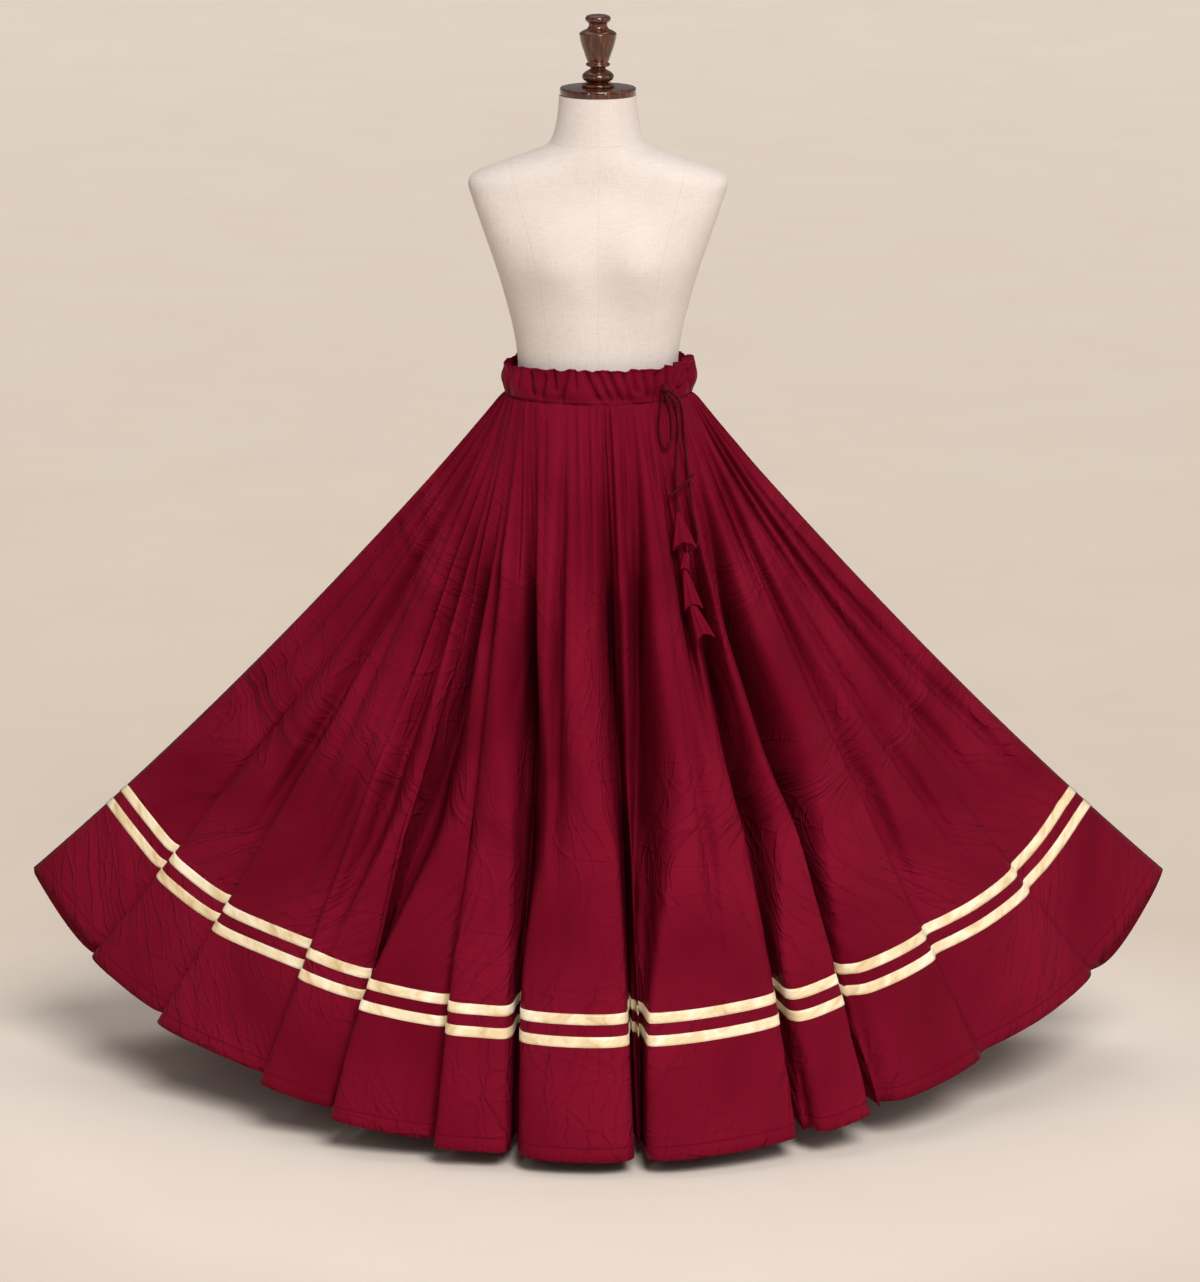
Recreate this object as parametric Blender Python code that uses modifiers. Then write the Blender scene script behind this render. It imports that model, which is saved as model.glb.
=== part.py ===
"""Maxi skirt on a limbless dress form.

A full-flare taffeta skirt with a gathered drawstring waistband and two ribbons above
the hem hangs on a linen dress form with a turned cap, a finial, a pole and a base.
Metres, +Z up, the front of the skirt towards -Y, origin on the floor under the pole.
"""

import math

import bmesh
import bpy
import numpy as np
from mathutils import Matrix

# Skirt: rib length from the waist seam to the hem, and the cloth itself.
WAIST_HALF_WIDTH = 0.1375
WAIST_HALF_DEPTH = 0.1120
SEAM_Z = 1.085
RIB_LENGTH = 1.10
WALL = 0.0020
SEAM_GAP = 0.0003
GATHER_DEPTH = 0.0022
GATHER_SHARE = 0.30
GATHER_FADE = 0.05
FOLD_GROWTH = 1.25
FRONT_BOW = 0.020
SIDE_SAG = 0.055

# Ribbons: heights of their lower edges above the hem, along the cloth.
RIBBON_WIDTH = 0.0155
RIBBON_THICKNESS = 0.0010
RIBBON_LIFT = 0.0004
RIBBON_PITCH = 0.0325
LOWER_RIBBON_HEIGHT = 0.1640

# Shares of a rib's length at which the cloth has a ring of points, above the ribbons.
UPPER_RINGS = (0.0, 0.03, 0.09, 0.19, 0.34, 0.52, 0.69)

# One row for each valley between two folds, from the left side seam round the front to
# the right side seam, then round the back. waist_deg is the place on the waist seam,
# 0 at the front centre and 90 at the right side; hem_x, hem_y and hem_z are where the
# valley meets the hem. The fold that follows has its near edge at the share lead of the
# way to the next valley and stands out by rise there, by crest in its middle and by
# fall where it drops into the next valley; spans is how finely its middle is divided.
FOLD_COLUMNS = ("name", "waist_deg", "hem_x", "hem_y", "hem_z", "lead", "rise", "crest", "fall", "spans")
FRONT_FOLDS = (
    ("left_seam", -92, -0.871, 0.225, 0.298, 0.30, 0.004, 0.006, 0.006, 1),
    ("left_tip", -85, -0.762, 0.100, 0.202, 0.10, 0.024, 0.018, 0.008, 1),
    ("left_outer", -79, -0.652, -0.030, 0.135, 0.08, 0.030, 0.022, 0.010, 1),
    ("left_broad", -72, -0.485, -0.190, 0.088, 0.08, 0.036, 0.030, 0.012, 2),
    ("left_strong", -64, -0.380, -0.260, 0.058, 0.08, 0.046, 0.034, 0.014, 2),
    ("left_inner", -56, -0.235, -0.330, 0.034, 0.09, 0.042, 0.038, 0.034, 1),
    ("deep_left", -46, -0.122, -0.348, 0.027, 0.12, 0.050, 0.062, 0.052, 3),
    ("deep_right", 6, 0.062, -0.358, 0.025, 0.07, 0.060, 0.056, 0.034, 3),
    ("right_inner", 38, 0.306, -0.300, 0.040, 0.12, 0.030, 0.032, 0.024, 1),
    ("right_strong", 54, 0.414, -0.245, 0.063, 0.14, 0.024, 0.026, 0.016, 2),
    ("right_broad", 68, 0.575, -0.120, 0.104, 0.20, 0.008, 0.016, 0.014, 2),
    ("right_outer", 80, 0.752, 0.060, 0.184, 0.25, 0.003, 0.005, 0.003, 1),
)
BACK_FOLDS = (
    ("right_seam", 92, 0.871, 0.215, 0.298, 0.30, 0.003, 0.008, 0.008, 1),
    ("back_right_tip", 100, 0.785, 0.255, 0.135, 0.16, 0.024, 0.030, 0.020, 1),
    ("back_right_outer", 112, 0.620, 0.335, 0.072, 0.14, 0.034, 0.040, 0.026, 2),
    ("back_right", 132, 0.370, 0.395, 0.034, 0.12, 0.040, 0.048, 0.034, 2),
    ("back_middle_right", 160, 0.130, 0.415, 0.020, 0.10, 0.046, 0.054, 0.040, 2),
    ("back_middle_left", 196, -0.120, 0.415, 0.020, 0.10, 0.042, 0.050, 0.038, 2),
    ("back_left", 224, -0.350, 0.400, 0.034, 0.12, 0.040, 0.046, 0.032, 2),
    ("back_left_outer", 246, -0.600, 0.340, 0.078, 0.14, 0.034, 0.036, 0.022, 2),
    ("back_left_tip", 259, -0.785, 0.265, 0.150, 0.16, 0.014, 0.010, 0.003, 1),
)
CREST_PLACE = 0.48
FALL_PLACE = 0.88
EDGE_SPANS = 1
POINTS_PER_FOLD = 4

# How finely the smooth sheet behind the folds is read, down a rib and round a ring, how
# far the round tables are carried past one turn, and the sharpest bend that keeps the
# full thickness of the cloth.
RIB_STEPS = 40
SHEET_STEPS = 720
TURN_OVERLAP = 2
MITRE_LIMIT = 0.40

# Waistband: rings from the seam up. height is above the seam, out is how far the ring
# stands outside the waist ellipse, pucker is the depth of its gathers.
BAND_PUCKERS = 20
BAND_COLUMNS_PER_PUCKER = 4
BAND_SLANT_DEG = 5.0
BAND_UNEVEN_SHARE = 0.25
BAND_UNEVEN_WAVES = 5
BAND_UNEVEN_SHIFT_DEG = 75.0
BAND_TOP_RUFFLE = 0.0020
BAND_TOP_WAVES = 7
BAND_TOP_SHIFT_DEG = 35.0
BUNCH_DEG = 78.0
BUNCH_SPREAD_DEG = 22.0
BUNCH_LIFT = 0.0055
BUNCH_OUT = 0.0040
BAND_COLUMNS = ("height", "out", "pucker")
BAND_RINGS = (
    (0.0000, 0.0000, 0.0008),
    (0.0090, 0.0040, 0.0026),
    (0.0220, 0.0060, 0.0034),
    (0.0390, 0.0005, 0.0022),
    (0.0500, 0.0020, 0.0034),
)

# Drawstring: a knot on the waistband, and the routes of the cords from it.
CORD_RADIUS = 0.0015
CORD_STEP = 0.0088
KNOT_PLACE = (0.0974, -0.0945, 1.1073)
KNOT_RADII = (0.0060, 0.0050, 0.0065)
KNOT_TURN_DEG = 31.0
KNOT_AROUND = 12
KNOT_RINGS = 8
CORD_ROUTES = (
    ("drawstring_loop", (
        (0.0943, -0.0964, 1.0996), (0.0930, -0.0925, 1.0880), (0.0905, -0.0965, 1.0690),
        (0.0893, -0.1015, 1.0490), (0.0914, -0.1068, 1.0305), (0.0989, -0.1070, 1.0192),
        (0.1068, -0.0995, 1.0290), (0.1084, -0.0915, 1.0467), (0.1066, -0.0860, 1.0648),
        (0.1020, -0.0870, 1.0860), (0.0973, -0.0946, 1.0993),
    )),
    ("drawstring_end_short", (
        (0.1003, -0.0928, 1.1006), (0.1090, -0.0835, 1.0890), (0.1150, -0.0770, 1.0700),
        (0.1182, -0.0845, 1.0427), (0.1162, -0.0965, 1.0182), (0.1144, -0.1080, 0.9906),
        (0.1144, -0.1168, 0.9639), (0.1163, -0.1224, 0.9411), (0.1173, -0.1266, 0.9284),
    )),
    ("drawstring_end_long", (
        (0.1023, -0.0915, 1.1037), (0.1165, -0.0760, 1.0905), (0.1236, -0.0700, 1.0700),
        (0.1268, -0.0790, 1.0328), (0.1304, -0.0923, 0.9995), (0.1351, -0.1048, 0.9615),
        (0.1391, -0.1163, 0.9279), (0.1453, -0.1235, 0.8994), (0.1467, -0.1293, 0.8826),
        (0.1420, -0.1362, 0.8780), (0.1352, -0.1410, 0.8742), (0.1335, -0.1447, 0.8699),
    )),
    ("drawstring_tie", (
        (0.1395, -0.0989, 0.9776), (0.1350, -0.1042, 0.9741), (0.1291, -0.1112, 0.9695),
        (0.1202, -0.1186, 0.9635), (0.1128, -0.1232, 0.9583), (0.1047, -0.1308, 0.9533),
    )),
)

# Tassels: gathered cones of the skirt's cloth, open at both ends, flattened as they lie
# on the skirt. Each runs from its apex to the middle of its mouth; corner is how far
# the two side corners hang below that.
TASSEL_WALL = 0.0012
TASSEL_AROUND = 12
TASSEL_SHARES = (0.0, 0.35, 0.70, 1.0)
TASSEL_COLUMNS = ("name", "apex", "mouth", "neck", "half_width", "half_depth", "corner")
TASSELS = (
    ("upper", (0.1174, -0.1268, 0.9280), (0.1258, -0.1529, 0.8817), 0.0026, 0.0180, 0.0070, 0.0045),
    ("twist", (0.1296, -0.1449, 0.8700), (0.1263, -0.1572, 0.8482), 0.0050, 0.0062, 0.0052, 0.0010),
    ("middle", (0.1266, -0.1560, 0.8504), (0.1390, -0.1749, 0.7957), 0.0024, 0.0140, 0.0065, 0.0040),
    ("lower", (0.1378, -0.1731, 0.8005), (0.1565, -0.1830, 0.7530), 0.0044, 0.0135, 0.0060, 0.0050),
)

# Dress form: horizontal sections from the neck down. square is the power of the
# superellipse, 2 for an ellipse and more for a squarer section.
FORM_COLUMNS = ("above_seam", "half_width", "front", "back", "square")
FORM_SECTIONS = (
    (0.4410, 0.0570, 0.0540, 0.0540, 2.0),
    (0.4140, 0.0590, 0.0560, 0.0560, 2.0),
    (0.3860, 0.0650, 0.0610, 0.0610, 2.0),
    (0.3690, 0.0745, 0.0660, 0.0660, 2.0),
    (0.3590, 0.0950, 0.0700, 0.0690, 2.1),
    (0.3440, 0.1370, 0.0730, 0.0720, 2.3),
    (0.3280, 0.1790, 0.0740, 0.0750, 2.6),
    (0.3140, 0.1905, 0.0750, 0.0770, 2.9),
    (0.2910, 0.1850, 0.0800, 0.0830, 2.9),
    (0.2650, 0.1765, 0.0900, 0.0870, 2.7),
    (0.2330, 0.1655, 0.1010, 0.0890, 2.5),
    (0.2010, 0.1545, 0.1050, 0.0870, 2.4),
    (0.1680, 0.1440, 0.1010, 0.0830, 2.3),
    (0.1280, 0.1330, 0.0940, 0.0790, 2.2),
    (0.0850, 0.1230, 0.0890, 0.0790, 2.1),
    (0.0430, 0.1184, 0.0890, 0.0830, 2.1),
    (0.0180, 0.1230, 0.0950, 0.0930, 2.0),
    (-0.0010, 0.1333, 0.1077, 0.1077, 2.0),
    (-0.0370, 0.1480, 0.1130, 0.1160, 2.0),
    (-0.1070, 0.1640, 0.1180, 0.1260, 2.1),
    (-0.1870, 0.1720, 0.1180, 0.1280, 2.1),
    (-0.2470, 0.1660, 0.1120, 0.1200, 2.1),
)
FORM_AROUND = 30

# Turned wood. Profiles run from the top down, radius then height.
CAP_RADIUS = 0.0560
CAP_HEIGHT = 0.0115
CAP_ROUND = 0.0030
FINIAL_PROFILE = (
    (0.0000, 0.1070), (0.0110, 0.1062), (0.0185, 0.1025), (0.0185, 0.0980), (0.0150, 0.0945),
    (0.0135, 0.0890), (0.0200, 0.0840), (0.0275, 0.0775), (0.0262, 0.0680), (0.0205, 0.0510),
    (0.0155, 0.0370), (0.0180, 0.0345), (0.0175, 0.0310), (0.0110, 0.0270), (0.0195, 0.0215),
    (0.0235, 0.0145), (0.0195, 0.0085), (0.0150, 0.0065), (0.0245, 0.0040), (0.0245, 0.0003),
    (0.0000, 0.0003),
)
FINIAL_STEPS = 18
CAP_STEPS = 32

# Painted steel stand under the form.
POLE_RADIUS = 0.0160
POLE_STEPS = 20
BASE_RADIUS = 0.2100
BASE_HEIGHT = 0.0180
BASE_ROUND = 0.0040
BASE_STEPS = 36

# Materials: colour, roughness, metallic.
TAFFETA = ((0.155, 0.0045, 0.018), 0.55, 0.0)
SATIN_RIBBON = ((0.78, 0.62, 0.38), 0.35, 0.0)
LINEN_CANVAS = ((0.83, 0.76, 0.69), 0.90, 0.0)
DARK_WOOD = ((0.10, 0.028, 0.010), 0.30, 0.0)
STEEL = ((0.55, 0.55, 0.56), 0.40, 0.6)
SHARP_EDGE_DEG = 35.0


def clear_scene():
    for leftover in list(bpy.data.objects):
        bpy.data.objects.remove(leftover, do_unlink=True)


def make_material(name, finish):
    colour, roughness, metallic = finish
    material = bpy.data.materials.new(name)
    material.use_nodes = True
    shader = material.node_tree.nodes["Principled BSDF"]
    shader.inputs["Base Color"].default_value = (*colour, 1.0)
    shader.inputs["Roughness"].default_value = roughness
    shader.inputs["Metallic"].default_value = metallic
    return material


def table(columns, rows):
    """Turn a table's rows into one array for each numeric column, by its name."""
    return {
        name: np.array([row[i] for row in rows], dtype=float)
        for i, name in enumerate(columns)
        if name != "name"
    }


def hermite(knots, values, at):
    """Read a smooth curve through values at the rising knots, with central slopes."""
    slopes = np.empty_like(values)
    slopes[1:-1] = (values[2:] - values[:-2]) / (knots[2:] - knots[:-2])
    slopes[0] = (values[1] - values[0]) / (knots[1] - knots[0])
    slopes[-1] = (values[-1] - values[-2]) / (knots[-1] - knots[-2])
    k = np.clip(np.searchsorted(knots, at, side="right") - 1, 0, len(knots) - 2)
    span = knots[k + 1] - knots[k]
    u = (at - knots[k]) / span
    return (
        (2 * u**3 - 3 * u**2 + 1) * values[k]
        + (u**3 - 2 * u**2 + u) * span * slopes[k]
        + (3 * u**2 - 2 * u**3) * values[k + 1]
        + (u**3 - u**2) * span * slopes[k + 1]
    )


def hem_line():
    """Knots along the hem's base line and its values there, one turn and a bit more."""
    rows = table(FOLD_COLUMNS, FRONT_FOLDS + BACK_FOLDS)
    places = np.stack([rows["hem_x"], rows["hem_y"], rows["hem_z"]], axis=1)
    count = len(places)
    order = np.arange(-TURN_OVERLAP, count + TURN_OVERLAP + 1)
    turns = np.floor_divide(order, count)
    steps = np.linalg.norm(np.roll(places, -1, axis=0) - places, axis=1)
    along = np.concatenate([[0.0], np.cumsum(steps)])
    knots = along[order % count] + turns * along[-1]
    degrees = rows["waist_deg"][order % count] + turns * 360.0
    return knots, places[order % count], degrees


def lap_length():
    """Length of the base line once round the hem."""
    knots = hem_line()[0]
    return knots[TURN_OVERLAP + len(FRONT_FOLDS) + len(BACK_FOLDS)] - knots[TURN_OVERLAP]


def cloth_line():
    """Follow the cloth round the hem: where it is on the base line, how far it stands
    out, and which column lies on the right side seam."""
    rows = table(FOLD_COLUMNS, FRONT_FOLDS + BACK_FOLDS)
    knots = hem_line()[0][TURN_OVERLAP:]
    count = len(rows["hem_x"])
    controls = []
    spans = []
    for i in range(count):
        width = knots[i + 1] - knots[i]
        shares = (0.0, rows["lead"][i], CREST_PLACE, FALL_PLACE)
        heights = (0.0, rows["rise"][i], rows["crest"][i], rows["fall"][i])
        controls += [(knots[i] + share * width, height) for share, height in zip(shares, heights)]
        middle = int(rows["spans"][i])
        spans += [EDGE_SPANS, 1 + middle, 1 + middle, EDGE_SPANS]
    controls.append((knots[count], 0.0))
    controls = np.array(controls)
    lap = controls[-1, 0]
    before = controls[-1 - TURN_OVERLAP : -1] - (lap, 0.0)
    after = controls[1 : 1 + TURN_OVERLAP] + (lap, 0.0)
    ring = np.concatenate([before, controls, after])
    index = np.arange(len(ring), dtype=float) - TURN_OVERLAP
    places = []
    for k, parts in enumerate(spans):
        places += [k + j / parts for j in range(parts)]
    places = np.array(places)
    along = hermite(index, ring[:, 0], places)
    out = np.maximum(hermite(index, ring[:, 1], places), 0.0)
    seam = int(np.searchsorted(places, POINTS_PER_FOLD * len(FRONT_FOLDS)))
    return along, out, seam


def plan_normals(points):
    """Level outward normals of closed rings of points, ring by ring."""
    ahead = np.roll(points, -1, axis=-2) - points
    behind = points - np.roll(points, 1, axis=-2)
    ahead = ahead / np.linalg.norm(ahead[..., :2], axis=-1, keepdims=True)
    behind = behind / np.linalg.norm(behind[..., :2], axis=-1, keepdims=True)
    tangent = ahead + behind
    normal = np.stack([tangent[..., 1], -tangent[..., 0], np.zeros_like(tangent[..., 0])], axis=-1)
    return normal / np.linalg.norm(normal, axis=-1, keepdims=True)


def base_sheet(along, rings):
    """The smooth sheet on which the folds stand: a bowed rib for each place.

    A ring is a pair: its share of the rib's length, and a height above that point.
    """
    knots, places, degrees = hem_line()
    hem = np.stack([hermite(knots, places[:, i], along) for i in range(3)], axis=1)
    angle = np.radians(hermite(knots, degrees, along))
    waist = np.stack(
        [WAIST_HALF_WIDTH * np.sin(angle), -WAIST_HALF_DEPTH * np.cos(angle), np.full_like(angle, SEAM_Z)],
        axis=1,
    )
    sideways = np.abs(hem[:, 0]) / np.abs(hem[:, 0]).max()
    radial = hem[:, :2] / np.linalg.norm(hem[:, :2], axis=1, keepdims=True)
    bend = (hem + waist) / 2.0
    bend[:, :2] += radial * (FRONT_BOW * (1.0 - sideways))[:, None]
    bend[:, 2] -= SIDE_SAG * sideways
    s = np.linspace(0.0, 1.0, RIB_STEPS + 1)[:, None, None]
    ribs = (1 - s) ** 2 * waist + 2 * s * (1 - s) * bend + s**2 * hem
    steps = np.linalg.norm(np.diff(ribs, axis=0), axis=2)
    down = np.concatenate([np.zeros((1, steps.shape[1])), np.cumsum(steps, axis=0)])
    sheet = np.empty((len(rings), len(along), 3))
    for j in range(len(along)):
        length = down[-1, j]
        wanted = [share * length - height for share, height in rings]
        for axis in range(3):
            sheet[:, j, axis] = np.interp(wanted, down[:, j], ribs[:, j, axis])
    return sheet


def skirt_rings(along, out, rings):
    """Outer points of the whole skirt, ring by ring from the seam to the hem."""
    sheet = base_sheet(along, rings)
    start = hem_line()[0][TURN_OVERLAP]
    lap = lap_length()
    fine = np.linspace(start, start + lap, SHEET_STEPS, endpoint=False)
    normals = plan_normals(base_sheet(fine, rings))
    where = np.mod(along - start, lap) / lap * SHEET_STEPS
    low = np.floor(where).astype(int) % SHEET_STEPS
    share = (where - np.floor(where))[:, None]
    direction = normals[:, low] * (1 - share) + normals[:, (low + 1) % SHEET_STEPS] * share
    s = np.array([share - height / RIB_LENGTH for share, height in rings])[:, None, None]
    points = sheet + direction * out[:, None] * s**FOLD_GROWTH
    spacing = np.linalg.norm(np.roll(points[0], -1, axis=0) - points[0], axis=1)
    spacing = np.minimum(spacing, np.roll(spacing, 1))
    waves = np.minimum(GATHER_DEPTH, GATHER_SHARE * spacing) * (-1.0) ** np.arange(len(out))
    fade = np.exp(-s / GATHER_FADE) - math.exp(-1.0 / GATHER_FADE)
    return points + direction * waves[:, None] * fade


def grid_normals(points):
    """Outward offsets of closed rings of points stacked from the top down, each made
    longer where the ring bends, so that a wall keeps its thickness."""
    ahead = np.roll(points, -1, axis=1) - points
    ahead /= np.linalg.norm(ahead, axis=-1, keepdims=True)
    round_way = ahead + np.roll(ahead, 1, axis=1)
    round_way /= np.linalg.norm(round_way, axis=-1, keepdims=True)
    bend = np.clip((round_way * ahead).sum(axis=-1, keepdims=True), MITRE_LIMIT, 1.0)
    down_way = np.gradient(points, axis=0)
    normal = np.cross(round_way, -down_way)
    return normal / np.linalg.norm(normal, axis=-1, keepdims=True) / bend


def parted(points, gap):
    """Draw the two end columns of a strip of rings back by half the seam's gap."""
    points = points.copy()
    first = points[:, 1] - points[:, 0]
    last = points[:, -2] - points[:, -1]
    points[:, 0] += first / np.linalg.norm(first, axis=-1, keepdims=True) * gap / 2
    points[:, -1] += last / np.linalg.norm(last, axis=-1, keepdims=True) * gap / 2
    return points


def wall(name, outer, inner, material, closed=False):
    """Close two grids of points, outer and inner, into one wall of cloth."""
    rows, columns = outer.shape[:2]
    vertices = np.concatenate([outer.reshape(-1, 3), inner.reshape(-1, 3)])
    shift = rows * columns
    faces = []
    last = columns if closed else columns - 1
    for i in range(rows - 1):
        for j in range(last):
            a = i * columns + j
            b = i * columns + (j + 1) % columns
            c = b + columns
            d = a + columns
            faces += [(a, d, c), (a, c, b)]
            faces += [(a + shift, c + shift, d + shift), (a + shift, b + shift, c + shift)]
    for j in range(last):
        top_a = j
        top_b = (j + 1) % columns
        low_a = (rows - 1) * columns + j
        low_b = (rows - 1) * columns + (j + 1) % columns
        faces.append((top_a, top_b, top_b + shift, top_a + shift))
        faces.append((low_a, low_a + shift, low_b + shift, low_b))
    if not closed:
        for i in range(rows - 1):
            a = i * columns
            d = a + columns
            faces.append((a, a + shift, d + shift, d))
            b = a + columns - 1
            c = b + columns
            faces.append((b, c, c + shift, b + shift))
    mesh = bpy.data.meshes.new(name)
    mesh.from_pydata([tuple(v) for v in vertices], [], faces)
    return add_object(name, mesh, material)


def add_object(name, mesh, material):
    item = bpy.data.objects.new(name, mesh)
    PARTS.objects.link(item)
    mesh.materials.clear()
    mesh.materials.append(material)
    mesh.update()
    mesh.shade_smooth()
    mesh.set_sharp_from_angle(angle=math.radians(SHARP_EDGE_DEG))
    return item


def build_skirt(taffeta, ribbon):
    """Front and back panels, and the four stretches of ribbon that lie on them."""
    edges = [LOWER_RIBBON_HEIGHT + RIBBON_PITCH + RIBBON_WIDTH, LOWER_RIBBON_HEIGHT + RIBBON_PITCH]
    edges += [LOWER_RIBBON_HEIGHT + RIBBON_WIDTH, LOWER_RIBBON_HEIGHT]
    rings = [(share, 0.0) for share in UPPER_RINGS]
    rings += [(1.0, height) for height in edges] + [(1.0, 0.0)]
    along, out, seam = cloth_line()
    outer = skirt_rings(along, out, rings)
    outer[0, :, 2] = SEAM_Z - SEAM_GAP
    normals = grid_normals(outer)
    inner = outer - normals * WALL
    inner[0, :, 2] = SEAM_Z - SEAM_GAP
    front = np.arange(0, seam + 1)
    back = np.append(np.arange(seam, outer.shape[1]), 0)
    first = len(UPPER_RINGS)
    for side, columns in (("front", front), ("back", back)):
        face = parted(outer[:, columns], SEAM_GAP)
        wrong_side = parted(inner[:, columns], SEAM_GAP)
        wall("skirt_" + side, face, wrong_side, taffeta)
        for label, row in (("upper", first), ("lower", first + 2)):
            strip = outer[row : row + 2][:, columns]
            lift = normals[row : row + 2][:, columns]
            under = parted(strip + lift * RIBBON_LIFT, SEAM_GAP)
            over = parted(strip + lift * (RIBBON_LIFT + RIBBON_THICKNESS), SEAM_GAP)
            wall("ribbon_" + label + "_" + side, over, under, ribbon)


def build_waistband(taffeta):
    rings = table(BAND_COLUMNS, BAND_RINGS)
    columns = BAND_PUCKERS * BAND_COLUMNS_PER_PUCKER
    angle = np.linspace(0.0, 2 * np.pi, columns, endpoint=False)
    outer = np.empty((len(BAND_RINGS), columns, 3))
    order = np.argsort(-rings["height"])
    for row, i in enumerate(order):
        lean = math.radians(BAND_SLANT_DEG) * i
        uneven = np.sin(angle * BAND_UNEVEN_WAVES + math.radians(BAND_UNEVEN_SHIFT_DEG))
        depth = 1.0 - BAND_UNEVEN_SHARE + BAND_UNEVEN_SHARE * uneven
        wave = rings["pucker"][i] * depth * np.cos(BAND_PUCKERS * (angle + lean))
        bunch = np.exp(-(((np.degrees(angle) - BUNCH_DEG) / BUNCH_SPREAD_DEG) ** 2))
        share = rings["height"][i] / rings["height"].max()
        reach = rings["out"][i] + wave + BUNCH_OUT * bunch * share
        lift = BUNCH_LIFT * bunch * share
        if row == 0:
            lift = lift + BAND_TOP_RUFFLE * np.sin(angle * BAND_TOP_WAVES + math.radians(BAND_TOP_SHIFT_DEG))
        outer[row, :, 0] = (WAIST_HALF_WIDTH + reach) * np.sin(angle)
        outer[row, :, 1] = -(WAIST_HALF_DEPTH + reach) * np.cos(angle)
        outer[row, :, 2] = SEAM_Z + rings["height"][i] + lift
    inner = outer - plan_normals(outer) * WALL
    wall("skirt_waistband", outer, inner, taffeta, closed=True)


def build_knot(taffeta):
    mesh = bpy.data.meshes.new("drawstring_knot")
    shape = bmesh.new()
    bmesh.ops.create_uvsphere(shape, u_segments=KNOT_AROUND, v_segments=KNOT_RINGS, radius=1.0)
    place = Matrix.Translation(KNOT_PLACE) @ Matrix.Rotation(math.radians(KNOT_TURN_DEG), 4, "Z")
    bmesh.ops.transform(shape, matrix=place @ Matrix.Diagonal((*KNOT_RADII, 1.0)), verts=shape.verts)
    shape.to_mesh(mesh)
    shape.free()
    add_object("drawstring_knot", mesh, taffeta)


def build_cord(name, route, taffeta):
    """A round cord along a smooth curve through its route."""
    route = np.array(route)
    steps = np.linalg.norm(np.diff(route, axis=0), axis=1)
    knots = np.concatenate([[0.0], np.cumsum(steps)])
    count = int(round(knots[-1] / CORD_STEP)) + 1
    at = np.linspace(0.0, knots[-1], count)
    points = np.stack([hermite(knots, route[:, i], at) for i in range(3)], axis=1)
    curve = bpy.data.curves.new(name, "CURVE")
    curve.dimensions = "3D"
    curve.bevel_depth = CORD_RADIUS
    curve.bevel_resolution = 2
    curve.use_fill_caps = True
    spline = curve.splines.new("POLY")
    spline.points.add(count - 1)
    for point, place in zip(spline.points, points):
        point.co = (*place, 1.0)
    curve.materials.append(taffeta)
    PARTS.objects.link(bpy.data.objects.new(name, curve))


def build_tassel(row, taffeta):
    name, apex, mouth, neck, half_width, half_depth, corner = (row[column] for column in TASSEL_COLUMNS)
    apex = np.array(apex)
    mouth = np.array(mouth)
    down = (mouth - apex) / np.linalg.norm(mouth - apex)
    sideways = np.cross(down, (0.0, 1.0, 0.0))
    sideways /= np.linalg.norm(sideways)
    outward = np.cross(sideways, down)
    angle = np.linspace(0.0, 2 * np.pi, TASSEL_AROUND, endpoint=False)
    grids = []
    for inset in (0.0, TASSEL_WALL):
        rings = []
        for share in TASSEL_SHARES:
            wide = neck + (half_width - neck) * share - inset
            deep = neck + (half_depth - neck) * share - inset
            centre = apex + (mouth - apex) * share
            drop = corner * share * np.cos(2 * angle)
            ring = centre + np.outer(wide * np.cos(angle), sideways) + np.outer(deep * np.sin(angle), outward)
            rings.append(ring + np.outer(drop, down))
        grids.append(np.array(rings))
    wall("tassel_" + name, grids[0], grids[1], taffeta, closed=True)


def build_form(canvas):
    """Loft the torso between its sections and close it with two flat ends."""
    rows = table(FORM_COLUMNS, FORM_SECTIONS)
    angle = np.linspace(0.0, 2 * np.pi, FORM_AROUND, endpoint=False)
    vertices = []
    for i in range(len(FORM_SECTIONS)):
        power = 2.0 / rows["square"][i]
        across = np.sign(np.sin(angle)) * np.abs(np.sin(angle)) ** power
        deep = -np.sign(np.cos(angle)) * np.abs(np.cos(angle)) ** power
        depth = np.where(deep < 0, rows["front"][i], rows["back"][i])
        height = np.full_like(angle, SEAM_Z + rows["above_seam"][i])
        ring = np.stack([rows["half_width"][i] * across, depth * deep, height], axis=1)
        vertices += [tuple(point) for point in ring]
    faces = []
    for i in range(len(FORM_SECTIONS) - 1):
        for j in range(FORM_AROUND):
            a = i * FORM_AROUND + j
            b = i * FORM_AROUND + (j + 1) % FORM_AROUND
            faces.append((a, a + FORM_AROUND, b + FORM_AROUND, b))
    last = (len(FORM_SECTIONS) - 1) * FORM_AROUND
    faces.append(tuple(range(FORM_AROUND)))
    faces.append(tuple(reversed(range(last, last + FORM_AROUND))))
    mesh = bpy.data.meshes.new("form_torso")
    mesh.from_pydata(vertices, [], faces)
    add_object("form_torso", mesh, canvas)


def turned(name, profile, material, steps):
    """Turn a profile that runs down at +X about the Z axis."""
    mesh = bpy.data.meshes.new(name)
    points = [(radius, 0.0, height) for radius, height in profile]
    mesh.from_pydata(points, [(i, i + 1) for i in range(len(points) - 1)], [])
    item = add_object(name, mesh, material)
    screw = item.modifiers.new("Turn", "SCREW")
    screw.axis = "Z"
    screw.angle = 2 * math.pi
    screw.steps = steps
    screw.render_steps = steps
    screw.use_merge_vertices = True
    screw.merge_threshold = 0.00001
    return item


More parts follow.
